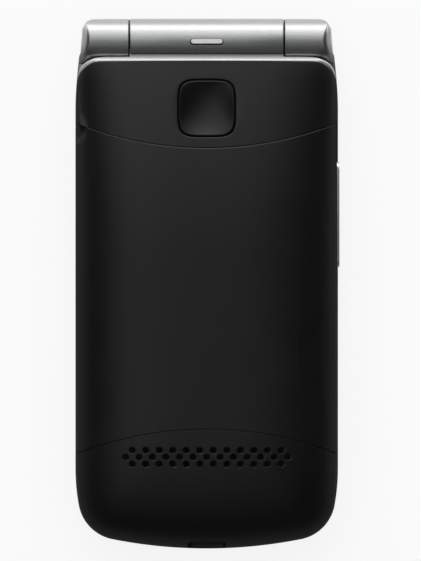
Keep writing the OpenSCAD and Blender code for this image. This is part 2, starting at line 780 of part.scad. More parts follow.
sim_wall = 0.6;
sim_floor_t = 0.2;
sim_lid_t = 0.25;
sim_stop = 1;
sim_window = 8;
sim_top_z = bay_z - bay_play;
module sim_socket() {
    color(CHROME) difference() {
        block(sim_x - sim_w / 2, sim_x + sim_w / 2, sim_y - sim_l / 2, sim_y + sim_l / 2,
              board_top_z, sim_top_z);
        // The tray is open at one end and has a window in its lid
        block(sim_x - sim_w / 2 + sim_wall, sim_x + sim_w / 2 - sim_wall,
              sim_y - sim_l / 2 - over, sim_y + sim_l / 2 - sim_stop,
              board_top_z + sim_floor_t, sim_top_z - sim_lid_t);
        block(sim_x - sim_window / 2, sim_x + sim_window / 2, sim_y - sim_window * 3 / 8,
              sim_y + sim_window * 3 / 8, board_top_z + sim_floor_t, bay_z);
    }
}

contact_pitch = 2.6;
contact_w = 1;
contact_r = 0.8;
contact_rise = 1.6;
contact_block_h = 3;
contact_play = 0.2;
contact_y = bay_hi_y + 0.5;
module battery_contacts() {
    color(GOLD) {
        block(contact_play - alcove_w / 2, alcove_w / 2 - contact_play, contact_y,
              bay_hi_y + alcove_l - contact_play, board_top_z, bay_z + contact_block_h);
        for (i = [-1:1])
            translate([i * contact_pitch - contact_w / 2, contact_y + contact_r / 3,
                       bay_z + contact_rise])
                rotate([0, 90, 0]) cylinder(r = contact_r, h = contact_w);
    }
}

battery_corner_r = 1.2;
module battery() {
    y0 = bay_hi_y - bay_l + bay_play;
    color("#4a4d55") intersection() {
        translate([0, y0 + battery_l, bay_z + battery_t / 2]) rotate([90, 0, 0])
            linear_extrude(battery_l)
                polygon(round_rect(battery_w, battery_t, battery_t / 2 - bay_play, 6));
        slab_at(round_rect(battery_w, battery_l, battery_corner_r), 0, y0 + battery_l / 2,
                bay_z - over, base_t);
    }
}

speaker_t = 2.6;
speaker_rim = 1.5;
speaker_sink = 0.5;
speaker_corner_r = 2.4;
speaker_top_z = mesh_z - mesh_t;
module loudspeaker() {
    color("#55585e") difference() {
        slab_at(round_rect(speaker_body_w, speaker_l, speaker_corner_r), 0, grille_y,
                speaker_top_z - speaker_t, speaker_t);
        slab_at(round_rect(speaker_body_w - 2 * speaker_rim, speaker_l - 2 * speaker_rim,
                           speaker_corner_r - 0.5 * speaker_rim), 0, grille_y,
                speaker_top_z - speaker_sink, over);
    }
}

module speaker_mesh() {
    color("#6f7175") slab_at(round_rect(speaker_w, speaker_l, mesh_corner_r), 0, grille_y,
                             speaker_top_z, mesh_t);
}

sos_lip = 0.6;
sos_lip_t = 0.6;
sos_air = 0.05;
sos_plunger_r = 1.6;
switch_w = 5.2;
switch_h = 1.3;
switch_stem_r = 1.4;
switch_stem_h = 0.4;
module sos_button() {
    lip_top_z = collar_z - sos_air;
    plunger_z = board_top_z + switch_h + sos_travel + sos_air;
    top_z = split_z + crown_at(sos_y);
    tilt = atan(crown_at(sos_y - 0.5) - crown_at(sos_y + 0.5));
    color(CASE_BLACK) {
        difference() {
            intersection() {
                back_form(0);
                slab_at(squircle(sos_w - 2 * sos_gap), 0, sos_y, lip_top_z - eps, base_t);
            }
            translate([0, sos_y, top_z]) rotate([-tilt, 0, 0]) translate([0, 0, dish_r - dish_d])
                sphere(r = dish_r, $fn = 96);
        }
        slab_at(squircle(sos_w + 2 * sos_lip), 0, sos_y, lip_top_z - sos_lip_t, sos_lip_t);
        translate([0, sos_y, plunger_z])
            cylinder(r = sos_plunger_r, h = lip_top_z - sos_lip_t / 2 - plunger_z);
    }
}

module sos_switch() {
    color(CHROME) {
        block(-switch_w / 2, switch_w / 2, sos_y - switch_w / 2, sos_y + switch_w / 2,
              board_top_z, board_top_z + switch_h - switch_stem_h);
        translate([0, sos_y, board_top_z]) cylinder(r = switch_stem_r, h = switch_h);
    }
}

// Rocker: outer bar through the side, inner flange behind the wall, two nubs
rocker_edge = 0.25;
rocker_root = 1.5;
module rocker_layer(x, t, l, h, r, steps) translate([x, rocker_y, rocker_z]) rotate([90, 0, 90])
    linear_extrude(t) polygon(round_rect(l, h, r, steps));

module volume_rocker() {
    face_x = half_w + rocker_proud - rocker_edge;
    end_r = rocker_h / 2 - eps;
    color(SILVER) {
        rocker_layer(half_w - rocker_root, face_x - half_w + rocker_root, rocker_l, rocker_h,
                     end_r, 6);
        rocker_layer(face_x - eps, rocker_edge, rocker_l - 2 * rocker_edge,
                     rocker_h - 2 * rocker_edge, end_r - rocker_edge, 6);
        rocker_layer(rocker_flange_x, rocker_flange_t, rocker_l + 2 * rocker_flange_l,
                     rocker_h + 2 * rocker_flange_h, rocker_flange_t, 3);
        for (s = [-1, 1])
            bar_x(rocker_nub_r, rocker_flange_x - rocker_nub_h, rocker_flange_x + eps,
                  rocker_y + s * rocker_nub_y, rocker_z);
    }
}

// Two side switches, which the rocker's nubs press
side_switch_l = 3.6;
side_switch_h = 2.6;
side_switch_t = 0.6;
side_stem_r = 0.8;
side_stem_l = 0.25;
module volume_switches() {
    x0 = half_w - rocker_depth;
    color(CHROME) for (s = [-1, 1]) let (y = rocker_y + s * rocker_nub_y) {
        block(x0, x0 + side_switch_t, y - side_switch_l / 2, y + side_switch_l / 2,
              rocker_z - side_switch_h / 2, rocker_z + side_switch_h / 2);
        bar_x(side_stem_r, x0, x0 + side_switch_t + side_stem_l, y, rocker_z);
    }
}

motor_h = 2.2;
motor_cap_h = 0.3;
motor_air = 1;
motor_shift = 3;
module vibration_motor() {
    x = -speaker_body_w / 2 - motor_d / 2 - motor_air;
    color(CHROME) translate([x, grille_y - motor_shift, board_top_z]) {
        cylinder(d = motor_d, h = motor_h);
        cylinder(d = motor_d - 2 * motor_air, h = motor_h + motor_cap_h);
    }
}

antenna_inset = 5.2;
antenna_w = 1.8;
antenna_h = 2.4;
antenna_l = 8.4;
module antenna() {
    color(GOLD) difference() {
        intersection() {
            slab(outline(antenna_inset, case_y, case_end), board_top_z, antenna_h);
            block(-half_w, half_w, end_y, end_y + antenna_l, split_z - over, back_z);
        }
        slab(outline(antenna_inset + antenna_w, case_y + over, case_end), board_top_z - over,
             antenna_h + 2 * over);
        block(-port_w, port_w, end_y, end_y + antenna_l + over, board_top_z - over,
              board_top_z + antenna_h + over);
    }
}

module microphone() {
    color(GOLD) translate([0, mic_y, deck_top_z]) difference() {
        cylinder(r = mic_r, h = board_z - deck_top_z);
        translate([0, 0, -over]) cylinder(d = mic_hole_d, h = 1.5 * over);
    }
}

socket_t = 0.3;
socket_play = 0.15;
socket_l = 5.6;
socket_end = 1.5;
socket_foot_l = 2;
module usb_socket() {
    w = port_w - 2 * socket_play;
    h = port_h - 2 * socket_play;
    y0 = end_y + socket_end;
    y1 = y0 + socket_l;
    tongue_z = port_z + port_h / 2;
    color(CHROME) {
        difference() {
            slab_port(w, h, y0, y1);
            slab_port(w - 2 * socket_t, h - 2 * socket_t, y0 - over, y1 - socket_t);
        }
        block(-port_w / 4, port_w / 4, y0 + 2 * socket_t, y1 - eps, tongue_z - socket_t,
              tongue_z + socket_t);
        both_sides() block(port_w / 4, port_w * 0.37, y1 - 1.5 * socket_foot_l,
                           y1 - socket_foot_l / 2, board_top_z, port_z + socket_play + socket_t);
    }
}

cross_l = 1.8;
cross_w = 0.3;
cross_floor = 0.35;
module case_screws() {
    tip_z = deck_top_z + screw_floor_t + screw_tip_air;
    color(CHROME) for (p = screw_places) translate([p[0], p[1], 0]) difference() {
        union() {
            translate([0, 0, tip_z]) cylinder(r = screw_r, h = head_z - tip_z + head_h / 2);
            translate([0, 0, head_z]) cylinder(r = head_r, h = head_h);
        }
        for (a = [0, 90]) rotate(a)
            block(-cross_l / 2, cross_l / 2, -cross_w / 2, cross_w / 2, head_z + cross_floor,
                  head_z + head_h + over);
    }
}

// Light lens: a bar with round ends through the wall of the barrel
lens_sink = 0.08;
lens_play = 0.03;
lens_seat = bore_r - 0.5;
module lens_shape(g) {
    for (s = [-1, 1]) translate([s * (lens_l - lens_w) / 2, 0, 0])
        cylinder(d = lens_w - 2 * g, h = barrel_r + over);
    block((lens_w - lens_l) / 2, (lens_l - lens_w) / 2, g - lens_w / 2, lens_w / 2 - g, 0,
          barrel_r + over);
}

module light_lens() {
    color("#f4f6f8") intersection() {
        translate([0, hinge_y, hinge_z]) lens_shape(lens_play);
        difference() {
            bar_x(barrel_r - lens_sink, -lens_l, lens_l, $fn = 120);
            block(-lens_l, lens_l, hinge_y - barrel_r, hinge_y + barrel_r,
                  hinge_z - barrel_r, hinge_z + lens_seat);
        }
    }
}

// Strip with two light-emitting diodes under the lens
strip_l = 7.2;
strip_w = 4;
strip_t = 0.7;
diode_l = 1.6;
diode_w = 1.2;
diode_h = 0.9;
diode_pitch = 4;
module light_board() {
    top_z = hinge_z + lens_seat - diode_h;
    color(GOLD) {
        block(-strip_l / 2, strip_l / 2, hinge_y - strip_w / 2, hinge_y + strip_w / 2,
              top_z - strip_t, top_z);
        for (s = [-1, 1]) let (x = s * diode_pitch / 2)
            block(x - diode_l / 2, x + diode_l / 2, hinge_y - diode_w / 2, hinge_y + diode_w / 2,
                  top_z - eps, top_z + diode_h);
    }
}

// ---------------------------------------------------------------- hinge works

shaft_r = 1.5;
cap_l = 1.7;
barrel_end_x = half_w - barrel_inset;
housing_end_x = barrel_end_x - cap_l;
housing_wall = 0.6;
housing_end_t = 1;
seal_t = 1.5;
part_air = 0.1;
plug_l = 5;
head_over = 0.6;
head_play_x = 0.3;
module hinge_housing() {
    color(CHROME) difference() {
        bar_x(bore_r, -housing_end_x, -outer_x - part_air);
        bar_x(shaft_r + run_play, housing_end_t - housing_end_x, 0);
        bar_x(bore_r - housing_wall, housing_end_t - housing_end_x, -outer_x - seal_t);
    }
}

module hinge_shaft() {
    color(CHROME) {
        bar_x(shaft_r, -housing_end_x + housing_end_t + head_play_x, -knuckle_x + head_play_x);
        bar_x(shaft_r + head_over, -housing_end_x + housing_end_t + head_play_x,
              -housing_end_x + housing_end_t + head_play_x + spring_head_t);
        bar_x(bore_r, -knuckle_x + part_air, -knuckle_x + plug_l);
    }
}

// Stack of cupped disc springs, turned in pairs against each other
spring_pairs = 4;
spring_t = 0.22;
spring_land = 0.25;
spring_play = 0.15;
spring_head_t = 0.5;
spring_air = 0.2;
module disc_springs() {
    x0 = -housing_end_x + housing_end_t + head_play_x + spring_head_t + spring_air;
    pitch = (-outer_x - seal_t - spring_air - x0) / spring_pairs;
    r_in = shaft_r + spring_play;
    r_out = bore_r - housing_wall - spring_play;
    color(CHROME) for (i = [0:spring_pairs - 1]) translate([x0 + i * pitch, hinge_y, hinge_z])
        rotate([0, 90, 0]) rotate_extrude() polygon([
            [r_in, 0], [r_in + spring_land, 0], [r_out, pitch / 2],
            [r_in + spring_land, pitch], [r_in, pitch], [r_in, pitch - spring_t],
            [r_out - 1.4 * spring_t, pitch / 2], [r_in, spring_t]]);
}

bush_reach = 3.6;
bush_wall = 0.65;
module hinge_bush() {
    color(CHROME) difference() {
        union() {
            bar_x(bore_r, outer_x + part_air, housing_end_x);
            bar_x(bore_r - run_play, knuckle_x - bush_reach, outer_x + 2 * part_air);
        }
        bar_x(bore_r - bush_wall, 0, body_w);
    }
}

// Flat cable: rolled up along the hinge axis, with its tail led to the main board
flex_x = 6.6;
flex_tail_w = 4;
flex_t = 0.15;
flex_air = 0.3;
flex_roll_r = 1.95;
flex_turns = 2.25;
flex_growth = 0.32;
flex_steps = 44;
flex_end_air = 2;
flex_y = wall_y - 4;
flex_z = hinge_z + flex_roll_r - flex_t;
module hinge_flex() {
    function roll(r0) = [for (i = [0:flex_steps]) let (turned = flex_turns * i / flex_steps)
        (r0 - flex_growth * turned) * [cos(90 + 360 * turned), sin(90 + 360 * turned)]];
    color("#b5772c") {
        translate([flex_x, hinge_y, hinge_z]) rotate([90, 0, 90])
            linear_extrude(housing_end_x - flex_x - flex_end_air)
                polygon(concat(roll(flex_roll_r), reversed(roll(flex_roll_r - flex_t))));
        block(flex_x, flex_x + flex_tail_w, flex_y, hinge_y + eps, flex_z, flex_z + flex_t);
        block(flex_x, flex_x + flex_tail_w, flex_y, flex_y + flex_t, flex_z, board_z);
    }
}

module end_dome(r, x) {
    translate([x - r, hinge_y, hinge_z]) rotate([90, 0, end_flare])
        cylinder(r = r, h = body_w, center = true, $fn = 96);
}

cap_play = 0.08;
cap_sink = 0.25;
module hinge_caps() {
    color(CHROME) both_sides() intersection() {
        bar_x(bore_r - cap_play, housing_end_x, half_w);
        end_dome(end_dome_r - cap_sink, barrel_end_x - cap_sink);
    }
}

// ---------------------------------------------------------------- lid

lid_wall_y = hinge_y - barrel_r - barrel_air - lid_wall;
lid_top_y = hinge_y - 3.5;
lid_curve_l = 9.2;
lid_flat_y = lid_top_y - lid_curve_l;
bezel_t = 1;
bezel_sink = 0.2;
bezel_play = 0.1;
bezel_z = lid_t - bezel_sink - bezel_t;
lid_board_z = 3.5;
lid_board_t = 0.7;
lid_board_inset = 3;
display_t = bezel_z - lid_board_z - lid_board_t;
window_inset = 0.1;
window_play = 0.1;
window_end = 1;
window_corner_r = 5;
window_w = body_w - 2 * window_side;
window_y = lid_flat_y - window_end - window_l / 2;
camera_end = 5.5;
camera_y = window_y + window_l / 2 - camera_end;
earpiece_end = 8;
earpiece_y = end_y + earpiece_end;
screen_w = body_w - 2 * screen_side;
screen_shift = 1.5;
screen_y = (lid_wall_y + earpiece_y) / 2 + screen_shift;
lid_post_x = barrel_end_x - 2.8;

// Silver band of the display half, with the two outer knuckles
module lid_frame() {
    plan = outline(0, hinge_y + barrel_r, barrel_end);
    color(SILVER) difference() {
        intersection() {
            union() {
                block(-half_w, half_w, end_y, lid_top_y, lid_split_z, lid_t);
                both_sides() intersection() {
                    bar_x(barrel_r, outer_x, half_w);
                    end_dome(end_dome_r, barrel_end_x);
                }
                both_sides() block(outer_x, lid_post_x, lid_wall_y, hinge_y, lid_split_z, lid_t);
            }
            slab(plan, 0, hinge_z + barrel_r + over);
        }
        bar_x(barrel_r + barrel_air, -outer_x, outer_x);
        slab(outline(lid_wall, lid_wall_y + lid_wall, rim_end), lid_split_z - over, lid_t);
        bar_x(bore_r, -body_w, body_w);
    }
}

function lid_ring(d, back, z) = at_height(outline(d, lid_top_y - back, rim_end), z);

// Black outer cover, flat in the middle and rolled up at its edges
module lid_cover() {
    rise = lid_split_z;
    color(CASE_BLACK) difference() {
        loft([lid_ring(0.78 * rise, 1.46 * rise, 0), lid_ring(0.41 * rise, 1.07 * rise, 0.06 * rise),
              lid_ring(0.18 * rise, 0.68 * rise, 0.23 * rise),
              lid_ring(0.05 * rise, 0.29 * rise, 0.54 * rise), lid_ring(0, 0, rise)]);
        loft([lid_ring(0.95 * rise, 1.76 * rise, lid_floor),
              lid_ring(0.51 * rise, 1.17 * rise, lid_floor + 0.16 * rise),
              lid_ring(lid_wall, lid_wall, rise + over)]);
        // Step that holds the outer window, and openings behind it
        slab_at(round_rect(window_w + 2 * window_play, window_l + 2 * window_play,
                           window_corner_r + window_play), 0, window_y, -over,
                over + window_inset + window_t);
        block(lcd_edge - outer_lcd_w / 2, outer_lcd_w / 2 - lcd_edge,
              outer_lcd_y - outer_lcd_l / 2 + lcd_edge, outer_lcd_y + outer_lcd_l / 2 - lcd_edge,
              -over, lid_floor + over);
        translate([0, camera_y, -over]) cylinder(d = lens_d + 3 * lens_rim,
                                                 h = lid_floor + 2 * over);
    }
}

lcd_edge = 1;
lcd_side = 2.5;
lcd_shift = 7;
outer_lcd_w = window_w - 2 * lcd_side;
outer_lcd_l = 27;
outer_lcd_y = window_y - lcd_shift;
module outer_window() {
    color(GLASS_BLACK) slab_at(round_rect(window_w, window_l, window_corner_r), 0, window_y,
                               window_inset, window_t);
}

module outer_display() {
    color("#3a4450") block(-outer_lcd_w / 2, outer_lcd_w / 2, outer_lcd_y - outer_lcd_l / 2,
                           outer_lcd_y + outer_lcd_l / 2, lid_floor, lid_board_z);
}

camera_body = 7;
camera_air = 0.05;
lens_rim = 0.4;
lens_cone_t = 1;
module camera_module() {
    face_z = window_inset + window_t + camera_air;
    color(GLASS_BLACK) difference() {
        union() {
            block(-camera_body / 2, camera_body / 2, camera_y - camera_body / 2,
                  camera_y + camera_body / 2, lid_floor + camera_air, lid_board_z);
            translate([0, camera_y, face_z])
                cylinder(d = lens_d + 2 * lens_rim, h = lid_floor + over - face_z);
        }
        translate([0, camera_y, face_z - eps])
            cylinder(d1 = lens_d, d2 = lens_d - 2 * lens_cone_t, h = lens_cone_t);
    }
}

module lid_board() {
    color(BOARD_GREEN) slab(outline(lid_board_inset, lid_wall_y, rim_end), lid_board_z,
                            lid_board_t);
}

glass_t = 0.7;
display_side = 1.8;
display_end = 2;
module main_display() {
    z0 = lid_board_z + lid_board_t;
    color("#3a4450") difference() {
        block(-screen_w / 2 - display_side, screen_w / 2 + display_side,
              screen_y - screen_l / 2 - display_end, screen_y + screen_l / 2 + display_end,
              z0, z0 + display_t);
        block(-screen_w / 2, screen_w / 2, screen_y - screen_l / 2, screen_y + screen_l / 2,
              bezel_z - bezel_t + glass_t, lid_t);
    }
}

slot_w = 11;
slot_l = 1.6;
bezel_step = 1;
screen_corner_r = 1.4;
module inner_bezel() {
    color(DECK_GREY) difference() {
        slab(outline(lid_wall + bezel_play, lid_wall_y + lid_wall - bezel_play, rim_end), bezel_z,
             bezel_t);
        slab_at(round_rect(screen_w + 2 * bezel_play, screen_l + 2 * bezel_play,
                           screen_corner_r + bezel_play), 0, screen_y,
                bezel_z + bezel_t - glass_t, 2 * over);
        slab_at(round_rect(screen_w - 2 * bezel_step, screen_l - 2 * bezel_step,
                           screen_corner_r - 4 * bezel_play), 0, screen_y, bezel_z - over,
                3 * over);
        slab_at(round_rect(slot_w, slot_l, slot_l / 2 - eps), 0, earpiece_y, bezel_z - over,
                3 * over);
    }
}

module inner_window() {
    color("#20242a") slab_at(round_rect(screen_w, screen_l, screen_corner_r), 0, screen_y,
                             bezel_z + bezel_t - glass_t, glass_t);
}

ear_mesh_t = 0.2;
ear_mesh_over = 1;
earpiece_side = 2;
earpiece_l = 5.6;
earpiece_t = 2.1;
module earpiece() {
    color("#55585e") slab_at(round_rect(slot_w + 2 * earpiece_side, earpiece_l, earpiece_side), 0,
                             earpiece_y, bezel_z - ear_mesh_t - earpiece_t, earpiece_t);
}

module earpiece_mesh() {
    color("#6f7175") slab_at(round_rect(slot_w + 2 * ear_mesh_over, slot_l + 1.6 * ear_mesh_over,
                                        1.2 * ear_mesh_over), 0, earpiece_y,
                             bezel_z - ear_mesh_t, ear_mesh_t);
}

// Magnet that tells the phone when it is shut
magnet_x = 12;
magnet_end = 6;
magnet_d = 4;
magnet_h = 1.5;
module lid_magnet() {
    color("#777a80") translate([magnet_x, end_y + magnet_end, lid_board_z + lid_board_t])
        cylinder(d = magnet_d, h = magnet_h);
}

// Two soft stops between the closed halves
bumper_side = 9.9;
bumper_end = 5;
bumper_d = 2.2;
bumper_air = 0.03;
module lid_bumpers() {
    color(RUBBER) both_sides()
        translate([half_w - bumper_side, end_y + bumper_end, bezel_z + bezel_t])
            cylinder(d = bumper_d, h = base_z - bezel_z - bezel_t - bumper_air);
}

// ---------------------------------------------------------------- nodes

base_frame();
keypad_deck();
rear_case();
battery_cover();
battery();
main_board();
board_shields();
sim_socket();
battery_contacts();
dome_sheet();
loudspeaker();
speaker_mesh();
sos_button();
sos_switch();
volume_rocker();
volume_switches();
vibration_motor();
antenna();
microphone();
usb_socket();
case_screws();
light_lens();
light_board();
hinge_shaft();
hinge_flex();
nav_pad();
ok_key();
for (r = [0:3]) for (c = [0:2])
    number_key(r, c - 1);
for (k = SIDE_KEYS) side_key(k);
lid_frame();
lid_cover();
outer_window();
outer_display();
camera_module();
lid_board();
main_display();
inner_bezel();
inner_window();
earpiece();
earpiece_mesh();
lid_bumpers();
lid_magnet();
hinge_housing();
disc_springs();
hinge_bush();
hinge_caps();
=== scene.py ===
import math

import bmesh
import bpy
import numpy as np
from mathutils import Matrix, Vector


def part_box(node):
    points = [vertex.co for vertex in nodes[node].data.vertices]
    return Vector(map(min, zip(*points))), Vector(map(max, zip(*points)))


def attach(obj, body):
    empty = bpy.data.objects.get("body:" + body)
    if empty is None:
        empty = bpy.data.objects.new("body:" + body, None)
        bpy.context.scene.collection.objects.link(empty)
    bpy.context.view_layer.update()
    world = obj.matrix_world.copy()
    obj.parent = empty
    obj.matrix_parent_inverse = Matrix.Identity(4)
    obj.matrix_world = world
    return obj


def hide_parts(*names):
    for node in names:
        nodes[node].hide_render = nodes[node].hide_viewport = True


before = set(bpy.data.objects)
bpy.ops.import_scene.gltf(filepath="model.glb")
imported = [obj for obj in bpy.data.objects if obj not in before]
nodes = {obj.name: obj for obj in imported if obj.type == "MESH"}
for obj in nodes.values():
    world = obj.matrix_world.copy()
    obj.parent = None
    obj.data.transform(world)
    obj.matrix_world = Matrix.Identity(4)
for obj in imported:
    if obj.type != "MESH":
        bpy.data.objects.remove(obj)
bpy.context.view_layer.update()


# ---------------------------------------------------------------- rear case
# Black rear moulding of the keypad half, in ABS with a fine spark-eroded grain. The zones over
# the emergency button and over the loudspeaker show; the tray between them lies under the
# battery cover. Four screws hold it on the silver frame.

MM = 0.001
HALF_W = 26.0
END_Y = -52.5
CASE_Y = 44.1
SPLIT_Z = 12.8
CROWN_H = 7.17
CROWN_POWER = 3.6
END_DROP = 3.0
DROP_START = 5.0
SPINE_Y = -22.0
LOW_WALL = 0.7
LOW_WALL_Y = 34.0
LOW_WALL_L = 6.0
SEAM_R = 71.0
SEAM_HIGH = 26.9 + SEAM_R
SEAM_LOW = -28.9 - SEAM_R
SEAM_INSET = 0.6
FREE_END = (96.0, 8.4, 41.0, 15.9)
CASE_END = (2500.0, 5.0, 68.0, 10.05)
WALL = 1.9
SOS_Y = 34.65
SOS_W = 11.5
COLLAR_W = 2.4
COLLAR_Z = 15.5
GRILLE_Y = -34.34
GRILLE_PITCH = 2.67
GRILLE_ROW = 1.36
GRILLE_R = 0.62
FOOT_Z = SPLIT_Z - 0.04


def arc(centre, r, start, stop, steps):
    """Points at even turns on a circle: centre + r (cos, sin)."""
    a = np.linspace(start, stop, steps)
    return np.stack([centre[0] + r * np.cos(a), centre[1] + r * np.sin(a)], 1)


def half_end(end, inset, steps=(14, 22, 22)):
    """Half of one end from the side to the middle, as three arcs that touch each other: side arc,
    corner arc, end arc. The corner's centre lies where its distances to both neighbours' centres
    are the differences of the radii. Inset makes every radius smaller."""
    end_r, corner_r, side_r, side_l = end
    corner = max(corner_r - inset, 0.3)
    a, b = np.array([0.0, end_r]), np.array([HALF_W - side_r, side_l])
    span = b - a
    dist = np.hypot(*span)
    ra, rb = end_r - inset - corner, side_r - inset - corner
    far = (ra * ra - rb * rb + dist * dist) / (2 * dist)
    u = span / dist
    c = a + far * u + math.sqrt(ra * ra - far * far) * np.array([-u[1], u[0]])
    to_side = math.atan2(c[1] - b[1], c[0] - b[0])
    to_end = math.atan2(c[1] - a[1], c[0] - a[0])
    return np.concatenate([
        arc(b, side_r - inset, 0, to_side, steps[0]),
        arc(c, corner, to_side, to_end, steps[1])[1:],
        arc(a, end_r - inset, to_end, -math.pi / 2, steps[2])[1:]])


def right_side(inset, top, top_end, n=40):
    """Right half of the closed outline, from the middle of the free end to the hinge end, with n
    points on the straight side."""
    low = half_end(FREE_END, inset)[::-1] + [0, END_Y]
    high = half_end(top_end, inset) * [1, -1] + [0, top]
    y = np.linspace(low[-1, 1], high[0, 1], n + 2)[1:-1]
    side = np.concatenate([low, np.stack([np.full(n, HALF_W - inset), y], 1), high])
    side[[0, -1], 0] = 0
    return side


def whole(right):
    """Closed loop from its right half, whose first and last points lie on the middle line."""
    return np.concatenate([right, right[-2:0:-1] * [-1, 1]])


def crown(x, y, inset=0.0):
    """Height of the back over (x, y): split + (H(y) - inset) sqrt(1 - u^p). u is 0 on the spine and
    1 on the outline: above the spine's end it is |x| over the half width there, and below it the
    distance from the spine's end over that of the outline. At the corners by the hinge the half
    width shrinks less than the outline, which leaves a low wall. H falls with y squared."""
    x, y = np.abs(np.asarray(x, float)), np.asarray(y, float)
    side = right_side(inset, CASE_Y, CASE_END)
    wide = np.interp(y, side[:, 1], side[:, 0])
    wall = LOW_WALL * np.clip((y - LOW_WALL_Y) / LOW_WALL_L, 0, 1)
    wide = wide + wall * (HALF_W - inset - wide)
    low = side[side[:, 1] < SPINE_Y + 3]
    turn = np.arctan2(low[:, 0], SPINE_Y - low[:, 1])
    reach = np.hypot(low[:, 0], low[:, 1] - SPINE_Y)
    far = np.interp(np.arctan2(x, SPINE_Y - y), turn, reach)
    u = np.where(y < SPINE_Y, np.hypot(x, y - SPINE_Y) / far, x / np.maximum(wide, 1e-6))
    t = np.clip((y - DROP_START) / (CASE_Y - DROP_START), 0, 1.2)
    h = CROWN_H - END_DROP * t * t - inset
    return SPLIT_Z + h * np.sqrt(np.clip(1 - u ** CROWN_POWER, 0, 1))


def at_z(loop, z):
    """Loop of (x, y) lifted to one height, or to a height for each point."""
    return np.concatenate([loop, np.broadcast_to(np.reshape(z, (-1, 1)), (len(loop), 1))], 1)


def even(path, n):
    """n points at even lengths along a path."""
    gone = np.concatenate([[0], np.cumsum(np.hypot(*np.diff(path, axis=0).T))])
    t = np.linspace(0, gone[-1], n)
    return np.stack([np.interp(t, gone, path[:, 0]), np.interp(t, gone, path[:, 1])], 1)


def make_mesh(name, points, faces):
    """Object at the origin, from points in millimetres and rows of point numbers."""
    mesh = bpy.data.meshes.new(name)
    mesh.from_pydata((np.asarray(points) * MM).tolist(), [], faces)
    mesh.update()
    piece = bpy.data.objects.new(name, mesh)
    bpy.context.scene.collection.objects.link(piece)
    return piece


def outward(piece):
    """Turns all faces round if the volume that they enclose, signed by their turn, is negative."""
    bm = bmesh.new()
    bm.from_mesh(piece.data)
    if bm.calc_volume(signed=True) < 0:
        bmesh.ops.reverse_faces(bm, faces=bm.faces)
    bm.to_mesh(piece.data)
    bm.free()
    return piece


def skin(name, rings, torus=False, lids=False):
    """Closed surface through rings of equally many points. A torus joins its last ring to its
    first; otherwise each end is closed by a fan round its middle, or by one flat face. Rings of
    one more dimension make that many closed surfaces in one mesh."""
    rings = np.asarray(rings, float)
    if rings.ndim == 3:
        rings = rings[None]
    k, m, n = rings.shape[:3]
    row = np.arange(m if torus else m - 1)[:, None] * n
    i = np.arange(n)
    a, b = row + i, row + (i + 1) % n
    quads = np.stack([a, b, (b + n) % (m * n), (a + n) % (m * n)], -1).reshape(-1, 4)
    points = rings.reshape(k, -1, 3)
    fans = np.zeros((0, 3), int)
    last = (m - 1) * n
    if not torus and not lids:
        points = np.concatenate([points, rings[:, :1].mean(2), rings[:, -1:].mean(2)], 1)
        fans = np.concatenate([np.stack([(i + 1) % n, i, np.full(n, m * n)], 1),
                               np.stack([last + i, last + (i + 1) % n,
                                         np.full(n, m * n + 1)], 1)])
    each = np.arange(k)[:, None, None] * points.shape[1]
    faces = (quads + each).reshape(-1, 4).tolist() + (fans + each).reshape(-1, 3).tolist()
    if lids:
        ends = np.stack([i[::-1], last + i])
        faces += (ends + each).reshape(-1, n).tolist()
    return outward(make_mesh(name, points.reshape(-1, 3), faces))


def change(piece, kind, settings):
    """Adds a modifier with its settings and applies it."""
    step = piece.modifiers.new("step", kind)
    for key, value in settings.items():
        setattr(step, key, value)
    bpy.context.view_layer.update()
    seen = piece.evaluated_get(bpy.context.evaluated_depsgraph_get())
    mesh = bpy.data.meshes.new_from_object(seen)
    piece.modifiers.clear()
    old, piece.data = piece.data, mesh
    bpy.data.meshes.remove(old)
    return piece


def combine(how, piece, *tools):
    """Joins the tools' volumes to the piece, takes them out or keeps what is in them."""
    for tool in tools:
        change(piece, "BOOLEAN", {"operation": how, "solver": "EXACT", "object": tool})
        mesh = tool.data
        bpy.data.objects.remove(tool)
        bpy.data.meshes.remove(mesh)
    return piece


def cut(piece, *tools):
    return combine("DIFFERENCE", piece, *tools)


def keep(piece, *tools):
    return combine("INTERSECT", piece, *tools)


def join(name, *pieces):
    """One object from several closed ones."""
    with bpy.context.temp_override(active_object=pieces[0], object=pieces[0],
                                   selected_objects=list(pieces),
                                   selected_editable_objects=list(pieces)):
        bpy.ops.object.join()
    pieces[0].name = pieces[0].data.name = name
    return pieces[0]


def smooth(piece, limit=32.0):
    """Shades the piece smooth, with a sharp edge wherever two faces meet at more than limit, once
    the small gaps that a cut can leave are closed."""
    mesh = piece.data
    bm = bmesh.new()
    bm.from_mesh(mesh)
    bmesh.ops.holes_fill(bm, edges=[e for e in bm.edges if e.is_boundary])
    bmesh.ops.dissolve_degenerate(bm, dist=1e-7, edges=bm.edges)
    bm.to_mesh(mesh)
    bm.free()
    mesh.polygons.foreach_set("use_smooth", np.ones(len(mesh.polygons), bool))
    mesh.set_sharp_from_angle(angle=math.radians(limit))
    mesh.update()
    return piece


def solid_of(node, flat=0.4):
    """Copy of a node's mesh with its doubles merged and its flat faces made whole."""
    piece = bpy.data.objects.new(node, nodes[node].data.copy())
    bpy.context.scene.collection.objects.link(piece)
    bm = bmesh.new()
    bm.from_mesh(piece.data)
    bmesh.ops.remove_doubles(bm, verts=bm.verts, dist=1e-6)
    bmesh.ops.dissolve_limit(bm, angle_limit=math.radians(flat), verts=bm.verts, edges=bm.edges)
    bm.to_mesh(piece.data)
    bm.free()
    return piece


def slab_form(loop, z0, z1):
    """Plate of a loop's shape between two heights."""
    return skin("form", [at_z(loop, z0), at_z(loop, z1)])


def circle(n=48):
    """Unit circle of n points."""
    return arc((0, 0), 1, 0, math.tau, n + 1)[:-1]


